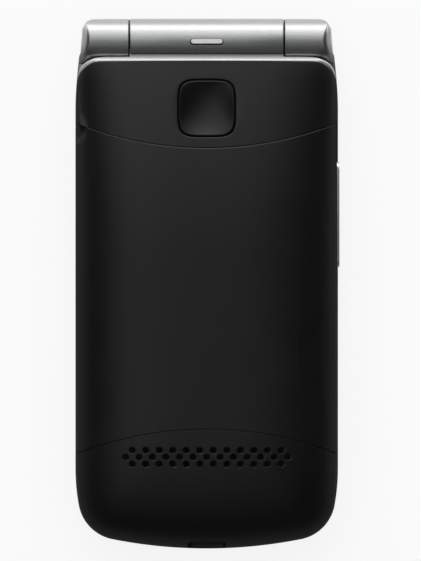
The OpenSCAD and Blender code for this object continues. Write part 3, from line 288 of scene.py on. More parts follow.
def post_form(x, y, r, z0, z1, n=48):
    """Cylinder along Z, as two rings."""
    return skin("form", [at_z(circle(n) * r + [x, y], z) for z in (z0, z1)], lids=True)


def squircle(turn, w, power=4.4):
    """Point of |x|^n + |y|^n = (w/2)^n in each direction."""
    r = w / 2 / (np.abs(np.cos(turn)) ** power + np.abs(np.sin(turn)) ** power) ** (1 / power)
    return np.stack([r * np.cos(turn), r * np.sin(turn)], -1)


def round_rect(w, h, r, steps=8):
    """Rectangle with round corners, as a loop of four arcs."""
    corners = [(1, 1, 0), (-1, 1, 1), (-1, -1, 2), (1, -1, 3)]
    return np.concatenate([arc((sx * (w / 2 - r), sy * (h / 2 - r)), r, q * math.pi / 2,
                               (q + 1) * math.pi / 2, steps) for sx, sy, q in corners])


def seam_bow(seam_y, r, sign, x, n):
    """n points of a seam's arc from the middle line to x."""
    a = np.linspace(0, math.asin(x / r), n)
    return np.stack([r * np.sin(a), seam_y - sign * r * np.cos(a)], 1)


def zone_edge(seam_y, r, inset, sign, n_seam=60, n_side=80):
    """Edge of the case's zone inside a seam circle round (0, seam_y): half of the seam's arc, then
    the side up to the middle of the end, and both again on the left."""
    side = right_side(inset, CASE_Y, CASE_END, 260)
    if sign < 0:
        side = side[::-1]
    meet = int(np.argmax(np.hypot(side[:, 0], side[:, 1] - seam_y) < r))
    bow = seam_bow(seam_y, r, sign, side[meet, 0], n_seam)
    rest = even(np.concatenate([bow[-1:], side[meet + 1:]]), n_side)
    return whole(np.concatenate([bow, rest[1:]]))


def drop(d, r):
    """Drop of a rounded edge at the distance d from it: r - sqrt(r^2 - (r - d)^2)."""
    q = np.clip(r - d, 0, r)
    return r - np.sqrt(r * r - q * q)


def late(n, power=2.6):
    """Shares from 0 to 1 whose steps shrink towards 1."""
    return 1 - (1 - np.linspace(0, 1, n)) ** power


def apart(a, b):
    """Distances between the points of two loops."""
    return np.hypot(*(a - b).T)


SEAM_ROUND = 0.05
HOLE_ROUND = 0.18


def zone_top(start, edge, shares):
    """Rings over the crowned surface from a start to the zone's edge, which is rounded, and down
    the wall to the foot."""
    rings = []
    near = 1 - SEAM_ROUND / apart(edge, start).mean()
    steps = np.concatenate([shares[shares < near * 0.998],
                            1 - (1 - near) * np.array([1, 0.6, 0.3, 0.12, 0.02, 0])])
    for s in steps:
        p = start + (edge - start) * s
        z = crown(p[:, 0], p[:, 1]) - drop(apart(edge, p), SEAM_ROUND)
        rings.append(at_z(p, np.maximum(z, FOOT_Z + 0.03)))
    return rings + [at_z(edge, FOOT_Z)]


def zone_inside(edge, middle, shares=(0.0, 0.03, 0.1, 0.25, 0.5, 0.8, 1.0)):
    """Rings of a zone's inner surface, from its foot towards the middle loop."""
    rings = []
    for s in shares:
        p = edge + (middle - edge) * s
        z = FOOT_Z if s == 0 else np.maximum(crown(p[:, 0], p[:, 1], WALL), FOOT_Z + 0.02)
        rings.append(at_z(p, z))
    return rings


# Zone with the button's hole: up the wall of the hole, over its rounded edge, across the crowned
# surface to the seam and the sides, down to the foot and back along the inside
edge = zone_edge(SEAM_HIGH, SEAM_R, 0.0, 1)
edge_in = zone_edge(SEAM_HIGH, SEAM_R - SEAM_INSET, WALL, 1)
turn = np.arctan2(edge[:, 1] - SOS_Y, edge[:, 0])
hole = squircle(turn, SOS_W) + [0, SOS_Y]
collar = squircle(turn, SOS_W + COLLAR_W) + [0, SOS_Y]
way = (edge - hole) / apart(edge, hole)[:, None]
rings = [at_z(hole, COLLAR_Z)]
for d in HOLE_ROUND * np.array([0, 0.04, 0.15, 0.35, 0.65, 1.0]):
    p = hole + way * d
    rings.append(at_z(p, crown(p[:, 0], p[:, 1]) - drop(d, HOLE_ROUND)))
rings += zone_top(hole + way * HOLE_ROUND, edge, late(38)[1:])
rings += zone_inside(edge_in, collar)
rings.append(at_z(collar, COLLAR_Z))
case_top = skin("case_top", rings, torus=True)

# Zone with the grille: from the middle to the seam and the sides, and back along the inside
edge = zone_edge(SEAM_LOW, SEAM_R, 0.0, -1)
edge_in = zone_edge(SEAM_LOW, SEAM_R - SEAM_INSET, WALL, -1)
middle = np.array([[0.0, -40.0]])
rings = zone_top(middle + (edge - middle) * 0.01, edge, late(44, 2.2)[1:])
rings += zone_inside(edge_in, middle + (edge_in - middle) * 0.04)
case_low = skin("case_low", rings)

# Holes of the grille, each with a small countersink that follows the crowned surface
spots = np.array([((i - (n - 1) / 2) * GRILLE_PITCH, GRILLE_Y + row * GRILLE_ROW)
                  for row, n in ((-1, 12), (0, 13), (1, 12)) for i in range(n)])
top = crown(spots[:, 0], spots[:, 1])
lean = (crown(spots[:, 0] + 0.1, spots[:, 1]) - crown(spots[:, 0] - 0.1, spots[:, 1])) / 0.2
fall = (crown(spots[:, 0], spots[:, 1] + 0.1) - crown(spots[:, 0], spots[:, 1] - 0.1)) / 0.2
pegs = []
for wider, dz in ((0, -3.4), (0, -0.07), (0.015, -0.025), (0.05, 0.0), (0.18, 0.1)):
    p = circle(20)[None] * (GRILLE_R + wider)
    z = top[:, None] + dz + lean[:, None] * p[..., 0] + fall[:, None] * p[..., 1]
    pegs.append(np.concatenate([spots[:, None] + p, z[..., None]], -1))
cut(case_low, skin("pegs", np.stack(pegs, 1), lids=True))

# Mouth of the charging socket in the free end
PORT_Z = 14.3
PORT_W = 7.6
PORT_H = 2.6
PORT_R = 0.86
PORT_INNER_Y = -46.5
mouth = round_rect(PORT_W, PORT_H, PORT_R)
cut(case_low, skin("mouth", [np.stack([mouth[:, 0], np.full(len(mouth), y),
                                       mouth[:, 1] + PORT_Z], 1)
                             for y in (END_Y - 1, PORT_INNER_Y)], lids=True))

# Shelf of the finger scoop that case and cover share at the left edge
SHELF_X = -29.6
SHELF_Y = 31.0
SHELF_R = 6.0
SHELF_LOW = 14.72
SHELF_EDGE = -23.4
cut(case_top, post_form(SHELF_X, SHELF_Y, SHELF_R, SHELF_LOW, 22, 96))

# Tray under the cover: the same solid as the frame's, cut to the cover's zone
bow = seam_bow(SEAM_HIGH, SEAM_R + 0.02, 1, 34.0, 40)
bow_low = seam_bow(SEAM_LOW, SEAM_R + 0.02, -1, 34.0, 40)
tray = keep(solid_of("rear_case", 0.05),
            slab_form(whole(np.concatenate([bow_low, bow[::-1]])), 10, 22))
rear_case = smooth(join("rear_case_shell", case_top, case_low, tray), 28)
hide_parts("rear_case")
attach(rear_case, "base")


class Wire:
    """Output of a shader node. Arithmetic with it adds Math nodes to its recipe."""

    def __init__(self, recipe, socket):
        self.recipe, self.socket = recipe, socket

    def math(self, how, a, b):
        return self.recipe.node("Math", {0: a, 1: b}, operation=how)

    def __add__(self, other):
        return self.math("ADD", self, other)

    def __radd__(self, other):
        return self.math("ADD", other, self)

    def __sub__(self, other):
        return self.math("SUBTRACT", self, other)

    def __rsub__(self, other):
        return self.math("SUBTRACT", other, self)

    def __mul__(self, other):
        return self.math("MULTIPLY", self, other)

    def __rmul__(self, other):
        return self.math("MULTIPLY", other, self)

    def __pow__(self, other):
        return self.math("POWER", self, other)


class Recipe:
    """Node tree of a material or of the world."""

    def __init__(self, tree):
        self.tree = tree

    def node(self, kind, inputs=None, out=0, **settings):
        """Adds a node: its settings first, then a value or a link for each named socket."""
        made = self.tree.nodes.new("ShaderNode" + kind)
        for key, value in settings.items():
            setattr(made, key, value)
        for key, value in (inputs or {}).items():
            if isinstance(value, Wire):
                self.tree.links.new(value.socket, made.inputs[key])
            else:
                made.inputs[key].default_value = value
        return Wire(self, made.outputs[out])

    def show(self, value, kind="Material"):
        """Ends the tree in a mixed shader."""
        self.tree.links.new(value.socket, self.tree.nodes[kind + " Output"].inputs["Surface"])


class Finish(Recipe):
    """Material with one Principled shader, whose uniform values are set on its sockets."""

    def __init__(self, name, **uniform):
        self.material = bpy.data.materials.new(name)
        self.material.use_nodes = True
        super().__init__(self.material.node_tree)
        self.shader = self.tree.nodes["Principled BSDF"]
        for key, value in uniform.items():
            self.shader.inputs[key.replace("_", " ")].default_value = value

    def place(self, stretch=(1, 1, 1)):
        """Object coordinates, stretched."""
        at = self.node("TexCoord", out=3)
        return self.node("Mapping", {"Vector": at, "Scale": stretch})

    def noise(self, size, detail=2.0, rough=0.5, stretch=(1, 1, 1)):
        """Noise between 0 and 1 whose marks are size millimetres wide."""
        return self.node("TexNoise", {"Vector": self.place(stretch), "Scale": 1000.0 / size,
                                      "Detail": detail, "Roughness": rough})

    def cells(self, size, out=0, stretch=(1, 1, 1)):
        """Distances (0) or random colours (1) of cells that are size millimetres wide."""
        return self.node("TexVoronoi", {"Vector": self.place(stretch), "Scale": 1000.0 / size},
                         out)

    def between(self, value, low, high):
        """Share of the way of a value from low to high, kept between 0 and 1."""
        return self.node("MapRange", {"Value": value, "From Min": low, "From Max": high})

    def blend(self, share, a, b):
        """Colour between two others."""
        return self.node("Mix", {0: share, 6: a if isinstance(a, Wire) else (*a, 1),
                                 7: b if isinstance(b, Wire) else (*b, 1)}, 2, data_type="RGBA")

    def into(self, socket, value):
        """Links a varying value to one of the shader's sockets."""
        self.tree.links.new(value.socket, self.shader.inputs[socket])
        return self

    def bump(self, height, depth, normal=None):
        """Normal of a height map whose full height is depth millimetres."""
        inputs = {"Height": height, "Distance": depth * MM, "Strength": 1.0}
        if normal:
            inputs["Normal"] = normal
        return self.node("Bump", inputs)

    def on(self, *pieces):
        """Gives the finish to pieces, in place of what they had."""
        for piece in pieces:
            piece.data.materials.clear()
            piece.data.materials.append(self.material)
        return self


def black_plastic(name, base=0.0012, rough=0.34, grain=0.11, shine=0.6):
    """Satin black ABS: spark-eroded grain in the normal, patches of a little more or less gloss,
    and a few fine scratches that shine."""
    f = Finish(name, Metallic=0.0, IOR=1.5, Specular_IOR_Level=shine)
    patches = f.noise(9.0, 3.0)
    fine = f.noise(grain, 3.0, 0.6)
    scratch = f.between(f.noise(1.0, 1.0, 0.5, (1, 0.06, 1)), 0.70, 0.76)
    f.into("Base Color", f.blend(f.between(patches, 0.3, 0.7), (base * 0.92,) * 3,
                                 (base * 1.1, base * 1.1, base * 1.14)))
    f.into("Roughness", rough + 0.07 * patches - 0.05 * scratch + 0.06 * fine)
    f.into("Normal", f.bump(fine, 0.010, f.bump(f.noise(0.9, 2.0), 0.003)))
    return f


black_plastic("case_black").on(rear_case)


def second_finish(piece, finish, chosen):
    """Gives a further finish to the faces whose middles are chosen, from arrays of x, y and z."""
    mesh = piece.data
    mesh.materials.append(finish.material)
    centres = np.zeros(len(mesh.polygons) * 3, np.float32)
    mesh.polygons.foreach_get("center", centres)
    x, y, z = centres.reshape(-1, 3).T.astype(float) / MM
    mesh.polygons.foreach_set("material_index", chosen(x, y, z).astype(np.int32))
    mesh.update()


def on_shelf(x, y, z):
    """Faces of the scoop's shelf, which is rougher than the rest and much lighter, 0.026 against
    the case's 0.0012: a painted highlight for the light on the shelf.
    """
    return (x < SHELF_EDGE) & (abs(y - SHELF_Y) < SHELF_R) & (abs(z - SHELF_LOW) < 0.01)


# Painted highlight: the shelf's black is made lighter than the case's to stand in for the light
# that falls on it.
second_finish(rear_case, black_plastic("scoop_painted_light", 0.026, 0.40), on_shelf)


# ---------------------------------------------------------------- battery cover
# Thin crowned moulding in the same black ABS, which snaps onto the tray with four tabs. Ribs
# under it press on the battery. A scoop at its left edge lets a nail lift it.

GAP_HIGH = 0.04
GAP_LOW = 0.13
COVER_Z = 14.0
COVER_T = 1.0
ROUND_HIGH = 0.32
ROUND_LOW = 0.06
SCOOP = (-28.54, 31.2, 15.3)
SCOOP_R = 4.74
SCOOP_FLOOR = 13.5
RIB_X = 13.2
RIB_W = 0.8
RIB_LOW = 18.0

level = (1 - ((COVER_Z - SPLIT_Z) / CROWN_H) ** 2) ** (1 / CROWN_POWER)
side = right_side(0.0, CASE_Y, CASE_END, 260)
side = np.stack([side[:, 0] * level,
                 np.where(side[:, 1] < SPINE_Y, SPINE_Y + (side[:, 1] - SPINE_Y) * level,
                          side[:, 1])], 1)
free = ((np.hypot(side[:, 0], side[:, 1] - SEAM_LOW) > SEAM_R + GAP_LOW)
        & (np.hypot(side[:, 0], side[:, 1] - SEAM_HIGH) > SEAM_R + GAP_HIGH))
side = side[free]
bow_low = seam_bow(SEAM_LOW, SEAM_R + GAP_LOW, -1, side[0, 0], 60)
bow_high = seam_bow(SEAM_HIGH, SEAM_R + GAP_HIGH, 1, side[-1, 0], 60)[::-1]
side = even(np.concatenate([bow_low[-1:], side[1:-1], bow_high[:1]]), 80)
edge = whole(np.concatenate([bow_low, side[1:-1], bow_high]))
middle = np.array([[0.0, -1.0]])
rings = []
near = 1 - ROUND_HIGH / 28
rounding = np.where(edge[:, 1] > 0, ROUND_HIGH, ROUND_LOW)
shares = late(56, 2.0)[1:]
for s in np.concatenate([shares[shares < 2 * near - 1], 1 - (1 - near) * np.array(
        [1.5, 1, 0.75, 0.5, 0.3, 0.15, 0.06, 0.015, 0])]):
    p = middle + (edge - middle) * s
    z = crown(p[:, 0], p[:, 1]) - drop(apart(edge, p), rounding)
    rings.append(at_z(p, np.maximum(z, COVER_Z)))
under = np.maximum(crown(edge[:, 0], edge[:, 1], COVER_T), COVER_Z)
rings.append(at_z(edge, np.minimum(under, rings[-1][:, 2] - 0.01)))
for s in (0.995, 0.985, 0.97, 0.95, 0.92, 0.88, 0.8, 0.65, 0.4, 0.1):
    p = middle + (edge - middle) * s
    rings.append(at_z(p, np.maximum(crown(p[:, 0], p[:, 1], COVER_T), COVER_Z - 0.01)))


def box_form(x0, x1, y0, y1, z0, z1):
    """Box between two corners, as two square rings."""
    loop = np.array([[x0, y0], [x1, y0], [x1, y1], [x0, y1]], float)
    return skin("form", [at_z(loop, z0), at_z(loop, z1)], lids=True)


def scoop_form():
    """Ball of level circles, whose radius is the ball's times the sine of their angle from its
    pole, cut off flat below."""
    t = np.linspace(0.0, math.pi, 49)[1:-1, None]
    loop = circle(96)
    ball = np.stack([SCOOP[0] + SCOOP_R * np.sin(t) * loop[None, :, 0],
                     SCOOP[1] + SCOOP_R * np.sin(t) * loop[None, :, 1],
                     SCOOP[2] - SCOOP_R * np.cos(t) * np.ones((1, 96))], -1)
    return cut(skin("ball", ball), box_form(-40, 0, 20, 45, 5, SCOOP_FLOOR))


cover = cut(skin("cover", rings), scoop_form())

# Ribs that press on the battery, and the tabs at the sides
ribs = []
for y in (9.05, -2.5, -14.05):
    x = np.linspace(-RIB_X, RIB_X, 25)
    low = np.stack([np.concatenate([x, x[::-1]]), np.repeat([y, y + RIB_W], 25)], 1)
    ribs.append(skin("rib", [at_z(low, RIB_LOW), at_z(low, crown(low[:, 0], low[:, 1], 0.5))]))
tabs = keep(solid_of("battery_cover", 0.05), box_form(-30, 30, -40, 40, 12, COVER_Z - 0.005))
battery_cover = smooth(join("battery_cover_shell", cover, tabs, *ribs), 28)
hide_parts("battery_cover")
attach(battery_cover, "battery_cover")
black_plastic("cover_black").on(battery_cover)


# ---------------------------------------------------------------- emergency button
# Dished black key that sinks in its squircle hole to call for help. A lip under the case keeps
# it in, and its stem stands on a switch of the main board. The dish's depth falls with the square
# of the distance in its middle, and of the share of the way to the key's edge near that.

SOS_GAP = 0.27
DISH_D = 1.0
KEY_ROUND = 0.2
KEY_REACH = 5.6
LIP_W = 1.2
LIP_HIGH = 15.45
LIP_LOW = 14.85
STEM_R = 1.6
STEM_LOW = 14.65

turn = np.linspace(0, math.tau, 193)[:-1]
rim = squircle(turn, SOS_W - 2 * SOS_GAP) + [0, SOS_Y]
rings = []
near = 1 - KEY_ROUND / KEY_REACH
for s in np.concatenate([np.linspace(0.04, near, 30), 1 - (1 - near) * np.array(
        [0.75, 0.5, 0.3, 0.15, 0.05, 0.01, 0])]):
    p = (rim - [0, SOS_Y]) * s + [0, SOS_Y]
    t = min(s / near, 1)
    round_part = (1 - t ** 4) * (np.hypot(p[:, 0], p[:, 1] - SOS_Y) / KEY_REACH) ** 2
    z = crown(p[:, 0], p[:, 1]) - DISH_D * (1 - round_part - t ** 6)
    rings.append(at_z(p, z - drop(apart(rim, p), KEY_ROUND)))
lip = squircle(turn, SOS_W + LIP_W) + [0, SOS_Y]
stem = np.stack([np.cos(turn), np.sin(turn)], 1) * STEM_R + [0, SOS_Y]
rings += [at_z(rim, LIP_HIGH), at_z(lip, LIP_HIGH), at_z(lip, LIP_LOW), at_z(stem, LIP_LOW),
          at_z(stem, STEM_LOW)]
sos_button = smooth(skin("sos_button_cap", rings), 32)
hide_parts("sos_button")
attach(sos_button, "sos_button")
black_plastic("button_black", 0.0012, 0.32, shine=0.42).on(sos_button)


# ---------------------------------------------------------------- silver frame
# Die-cast magnesium band of the keypad half, with the hinge's middle knuckle on its web. It is
# sprayed with a satin silver paint that has fine metal flake, under a clear coat.

HINGE_Y = 48.0
HINGE_Z = 8.6
BARREL_R = 4.494
KNUCKLE_X = 15.2
OUTER_X = 15.5
BASE_Z = 8.8
RIM_Y = 44.95
WALL_Y = 41.6
RIM_END = (2500.0, 4.6, 68.0, 10.9)
RIM_ROUND = 0.12
CORNER_ROUND = 0.5
VALLEY_R = 2.26
VALLEY_TURN = math.radians(30)
GROOVE_W = 0.2
SWING_GAP = 0.25
BORE_R = 3.0
DECK_TOP_Z = 10.4
SHELF_Z = 11.4
BOARD_Z = 12.0
SLOT_X = 2.68
SLOT_Y = HINGE_Y - 0.12
SLOT_R = 0.65
BOSS_X = 22.0
BOSS_Y = 26.0
BOSS_R = 1.5
BOSS_HOLE_R = 0.7


def fuse(piece, *tools):
    return combine("UNION", piece, *tools)


def bar_form(steps, y=HINGE_Y, z=HINGE_Z, n=144):
    """Round bar along X, from pairs of place and radius."""
    return skin("form", [np.insert(circle(n) * r + [y, z], 0, x, 1) for x, r in steps], lids=True)


def outline(inset, top, top_end, n=40):
    """Closed outline of a piece whose hinge end lies at top."""
    return whole(right_side(inset, top, top_end, n))


def rim_loop(inset, top=RIM_Y):
    """Closed outline with the round corners of the silver rim."""
    return outline(inset, top, RIM_END)


def barrel_rings(x0, x1, r, soft=0.16):
    """Places and radii of a bar whose end edges are rounded by quarter circles. Rings on both
    sides of the lens keep the shading round its slot short."""
    a = np.linspace(0, math.pi / 2, 7)
    start = [(x0 + soft * (1 - math.sin(t)), r - soft * (1 - math.cos(t))) for t in a[::-1]]
    stop = [(x1 - soft * (1 - math.sin(t)), r - soft * (1 - math.cos(t))) for t in a]
    return start + [(x, r) for x in (-7, -5.4, -4.6, 4.6, 5.4, 7) if x0 < x < x1] + stop


a = np.linspace(0, math.pi / 2, 9)
rings = [at_z(rim_loop(0.5 * (1 - math.sin(t))), BASE_Z + 1 - math.cos(t)) for t in a]
top = rim_loop(0)
share = np.clip((top[:, 1] - 33) / 8, 0, 1) * np.clip((np.abs(top[:, 0]) - 18) / 4, 0, 1)
share = share[:, None]
round_off = RIM_ROUND + CORNER_ROUND * share * share * (3 - 2 * share)
for t in a:
    b = 1 - math.cos(t)
    rings.append(at_z(top + (rim_loop(0.62) - top) / 0.62 * round_off * b,
                      SPLIT_Z - round_off * (1 - math.sin(t))))
band = skin("band", rings)
fuse(band, box_form(-KNUCKLE_X, KNUCKLE_X, WALL_Y, 47.0, BASE_Z, SPLIT_Z - 0.003))
cut(band, bar_form([(-40, VALLEY_R), (40, VALLEY_R)], CASE_Y + VALLEY_R * math.sin(VALLEY_TURN),
                   SPLIT_Z + VALLEY_R * math.cos(VALLEY_TURN), 480))
cut(band, keep(bar_form([(-40, BARREL_R + GROOVE_W), (40, BARREL_R + GROOVE_W)], n=288),
               box_form(-KNUCKLE_X - 1, KNUCKLE_X + 1, 43, 50, 12.15, 14)))
fuse(band, bar_form(barrel_rings(-KNUCKLE_X, KNUCKLE_X, BARREL_R)))
for s in (-1, 1):
    cut(band, bar_form([(s * KNUCKLE_X, BARREL_R + SWING_GAP), (s * 40, BARREL_R + SWING_GAP)]))
seat, wall, shelf = (rim_loop(2.4, WALL_Y + 2.4), rim_loop(1.8, WALL_Y + 1.8),
                     rim_loop(6.6, WALL_Y + 3.2))
cut(band, skin("room", [at_z(seat, 7), at_z(seat, DECK_TOP_Z), at_z(wall, DECK_TOP_Z),
                        at_z(wall, SHELF_Z), at_z(shelf, SHELF_Z), at_z(shelf, BOARD_Z),
                        at_z(wall, BOARD_Z), at_z(wall, 20)]),
    bar_form([(-40, BORE_R), (40, BORE_R)], n=96))
slot = np.concatenate([arc((SLOT_X, SLOT_Y), SLOT_R, -math.pi / 2, math.pi / 2, 16),
                       arc((-SLOT_X, SLOT_Y), SLOT_R, math.pi / 2, 1.5 * math.pi, 16)])
cut(band, skin("slot", [at_z(slot, z) for z in (9.0, 14.0)], lids=True),
    box_form(6.3, 10.9, WALL_Y - 1, HINGE_Y, 10.25, 10.7),
    box_form(22.5, 24.8, 2.4, 24.9, 10.45, 14.0), box_form(24.7, 28, 2.95, 24.35, 10.55, 14.0))
for x, y in ((-BOSS_X, BOSS_Y), (BOSS_X, BOSS_Y), (-BOSS_X, -BOSS_Y), (BOSS_X, -BOSS_Y)):
    fuse(band, post_form(x, y, BOSS_R, DECK_TOP_Z - 0.01, SHELF_Z + 0.01))
    cut(band, post_form(x, y, BOSS_HOLE_R, DECK_TOP_Z + 0.3, 20, 24))
base_frame = smooth(band, 30)
base_frame.name = "base_frame_casting"
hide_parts("base_frame")
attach(base_frame, "base")


def silver_paint(name, tone=0.47, rough=0.28):
    """Sprayed silver: flakes of 0.08 mm that differ in tone, a weak orange peel in the normal,
    and gloss that varies in soft patches."""
    f = Finish(name, Metallic=0.96, Coat_Weight=0.12, Coat_Roughness=0.18)
    sparkle = f.node("SeparateColor", {"Color": f.cells(0.08, 1)})
    f.into("Base Color", f.blend(sparkle, (tone * 0.90,) * 3,
                                 (tone * 1.07, tone * 1.09, tone * 1.12)))
    f.into("Roughness", rough + 0.06 * f.noise(6.0, 3.0) + 0.05 * sparkle)
    f.into("Normal", f.bump(f.noise(0.7, 2.0), 0.0035, f.bump(sparkle, 0.0012)))
    return f


silver_paint("frame_silver").on(base_frame)


# ---------------------------------------------------------------- light in the hinge
# Clear-white lens bar in the middle knuckle, over a strip with two light-emitting diodes. It
# flashes when a call comes in.

lens = Finish("lens_white", Base_Color=(0.76, 0.76, 0.73, 1), Subsurface_Weight=0.25,
              Subsurface_Radius=(0.5, 0.5, 0.5), Subsurface_Scale=0.002)
lens.into("Roughness", 0.16 + 0.16 * lens.noise(1.5, 2.0))
lens.on(nodes["light_lens"])


# ---------------------------------------------------------------- lid frame
# Silver casting of the display half, with the hinge's two outer knuckles. Their flared, domed
# ends carry chromed caps.

LID_SPLIT_Z = 4.1
LID_T = 8.4
LID_WALL_Y = 41.65
BARREL_END = (2500.0, 2.0, 87.0, 18.5)
DOME_R = 7.5
END_X = 25.1
FLARE = math.radians(4)


def outer_knuckle(side, soft=0.6, n=288):
    """Outer knuckle as rings round the axis: from its inner end out to the domed end, over a
    rounded edge and along the dome to its middle. The dome is a round bar across the end, turned
    by the flare. Points beyond the barrel's plan are drawn back to it. A low collar at the inner
    end reaches across the gap to the middle knuckle."""
    top = half_end(BARREL_END, 0, (14, 40, 22)) * [1, -1] + [0, HINGE_Y + BARREL_R]
    turn = np.linspace(0, math.pi / 2, 11)
    steps = [(4.28, -0.25, 0), (4.3, -0.24, 0), (4.3, 0, 0), (BARREL_R - 0.1, 0, 0),
             (BARREL_R, 0.012, 0)]
    steps += [(BARREL_R, share, soft) for share in (0.3, 0.55, 0.7, 0.8, 0.87, 0.92, 0.96, 0.985)]
    steps += [(BARREL_R - soft * (1 - math.cos(t)), 1, soft * (1 - math.sin(t))) for t in turn]
    steps += [(r, 1, 0) for r in (3.1, 2.9, 2.4, 1.6, 0.8)]
    rings = []
    for r, share, back in steps:
        loop = circle(n) * r
        end = (END_X - DOME_R + np.sqrt(DOME_R ** 2 - loop[:, 1] ** 2) / math.cos(FLARE)
               - loop[:, 0] * math.tan(FLARE) - back)
        x = OUTER_X + (np.full(n, share) if share < 0 else (end - OUTER_X) * share)
        y = np.minimum(loop[:, 0] + HINGE_Y, np.interp(x, top[::-1, 0], top[::-1, 1]))
        rings.append(np.stack([side * x, y, loop[:, 1] + HINGE_Z], 1))
    return skin("knuckle", rings)


plan = outline(0, HINGE_Y + BARREL_R, BARREL_END)
a = np.linspace(0, math.pi / 2, 7)
rings = [at_z(plan, LID_SPLIT_Z)]
rings += [at_z(outline(0.3 * (1 - math.cos(t)), HINGE_Y + BARREL_R, BARREL_END),
               LID_T - 0.3 * (1 - math.sin(t))) for t in a]
lid_band = cut(skin("lid_band", rings), box_form(-40, 40, 44.5, 60, 0, 20),
               bar_form([(-OUTER_X, BARREL_R + SWING_GAP), (OUTER_X, BARREL_R + SWING_GAP)]))
for s in (-1, 1):
    x0, x1 = sorted((s * OUTER_X, s * (END_X - 2.8)))
    fuse(lid_band, outer_knuckle(s), box_form(x0, x1, LID_WALL_Y, HINGE_Y, LID_SPLIT_Z, LID_T))
cut(lid_band, slab_form(rim_loop(1.6, LID_WALL_Y + 1.6), 3, 14),
    bar_form([(-40, BORE_R), (40, BORE_R)], n=96))
lid_frame = smooth(lid_band, 30)
lid_frame.name = "lid_frame_casting"
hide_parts("lid_frame")
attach(lid_frame, "lid")
silver_paint("lid_silver").on(lid_frame)


def in_gap(x, y, z):
    """Faces of the collars that reach into the gaps beside the middle knuckle. They are made black,
    a painted shade for the dark gaps.
    """
    return (abs(x) < OUTER_X - 0.01) & (z > LID_T)


# Painted shade: the collars of the silver casting are made black so that the gaps beside the middle
# knuckle read dark.
second_finish(lid_frame, black_plastic("gap_painted_shade", 0.0012, 0.5, shine=0.2), in_gap)

chrome = Finish("cap_chrome", Base_Color=(0.78, 0.79, 0.81, 1), Metallic=1.0)
chrome.into("Roughness", 0.08 + 0.08 * chrome.noise(1.2, 3.0))
chrome.into("Normal", chrome.bump(chrome.noise(0.5, 2.0), 0.001))
chrome.on(nodes["hinge_caps"])


# ---------------------------------------------------------------- volume rocker
# Silver bar through the right side, which tips about its middle onto two side switches. It is
# moulded in ABS and sprayed with the frame's silver, here in a lighter tone, 0.80 against the
# frame's 0.47, which is a painted highlight.


def eased(node, name, width, segments=3):
    """Copy of a node whose edges of more than 40 degrees are rounded over a width in mm."""
    piece = change(solid_of(node), "BEVEL", {"width": width * MM, "segments": segments,
                                             "limit_method": "ANGLE",
                                             "angle_limit": math.radians(40)})
    piece.name = name
    return smooth(piece, 30)


rocker = eased("volume_rocker", "volume_rocker_bar", 0.16)
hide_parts("volume_rocker")
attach(rocker, "volume_rocker")
# Painted highlight: the rocker's silver is made lighter than the frame's.
silver_paint("rocker_silver_painted_light", 0.80, 0.34).on(rocker)


# ---------------------------------------------------------------- outer cover of the lid
# Black ABS tray that closes the display half from outside. It is flat in the middle and rolls
# up to the silver band at its edges. A tinted window covers the small display and the camera,
# which have a recess and a hole in the tray.

LID_FLOOR = 1.3
LID_COVER_Y = 44.5
WINDOW_Y = 10.8
CAMERA_Y = 28.8
CAMERA_R = 3.3


def lid_ring(share):
    """Outline at a share of the cover's height. With w = 1 - share, the inset at the sides is
    3.2 (1 - (1 - w^2.5)^0.39) and the end's setback 6 (1 - (1 - w^1.5)^0.56)."""
    w = 1 - share
    side = 3.2 * (1 - (1 - w ** 2.5) ** 0.39)
    back = 6.0 * (1 - (1 - w ** 1.5) ** 0.56)
    return rim_loop(side, LID_COVER_Y - back)


shares = np.concatenate([[0, 0.002, 0.006, 0.012], np.linspace(0.05, 1, 26) ** 1.3])
pan = skin("pan", [at_z(lid_ring(s), LID_SPLIT_Z * s) for s in shares])
inner = [at_z(rim_loop(3.9, 37.3), LID_FLOOR), at_z(rim_loop(2.1, 39.7), LID_FLOOR + 0.65),
         at_z(rim_loop(1.6, 42.9), 6)]
window = round_rect(36.2, 47.2, 5.1, 16) + [0, WINDOW_Y]
cut(pan, skin("inner", inner), slab_form(window, -1, 0.7),
    box_form(-14.5, 14.5, -8.7, 16.3, -1, 2.5), post_form(0, CAMERA_Y, CAMERA_R, -1, 3))
lid_cover = smooth(pan, 30)
lid_cover.name = "lid_cover_shell"
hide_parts("lid_cover")
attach(lid_cover, "lid")
black_plastic("lid_black").on(lid_cover)

glass = eased("outer_window", "outer_window_pane", 0.12)
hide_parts("outer_window")
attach(glass, "lid")
tint = Finish("window_tint", Metallic=0.0, IOR=1.5, Specular_IOR_Level=0.5)
tint.into("Base Color", tint.blend(tint.between(tint.noise(14.0, 3.0), 0.35, 0.7),
                                   (0.004, 0.004, 0.005), (0.007, 0.007, 0.009)))
tint.into("Roughness", 0.04 + 0.10 * (tint.noise(22.0, 4.0, 0.6) ** 3.0))
tint.into("Normal", tint.bump(tint.noise(18.0, 1.0), 0.004))
tint.on(glass)


def grained(name, colours, rough, size=0.6, depth=0.004, metal=0.0, pieces=(), spread=0.08,
            stretch=(1, 1, 1)):
    """Finish with two close colours in patches, and a fine grain in gloss and normal."""
    f = Finish(name, Metallic=metal)
    fine = f.noise(size, 3.0, 0.55, stretch)
    wide = f.noise(size * 12, 3.0, 0.5)
    f.into("Base Color", f.blend(f.between(wide * 0.6 + fine * 0.4, 0.35, 0.65), *colours))
    f.into("Roughness", rough + spread * (wide + fine - 1.0))
    f.into("Normal", f.bump(fine, depth))
    return f.on(*(nodes[p] for p in pieces))


grained("camera_black", ((0.008, 0.008, 0.01), (0.014, 0.013, 0.018)), 0.18, 0.4, 0.002,
        pieces=["camera_module"])
grained("display_back", ((0.22, 0.25, 0.29), (0.27, 0.30, 0.34)), 0.35, 0.3, 0.002, 0.5,
        pieces=["outer_display", "main_display"])


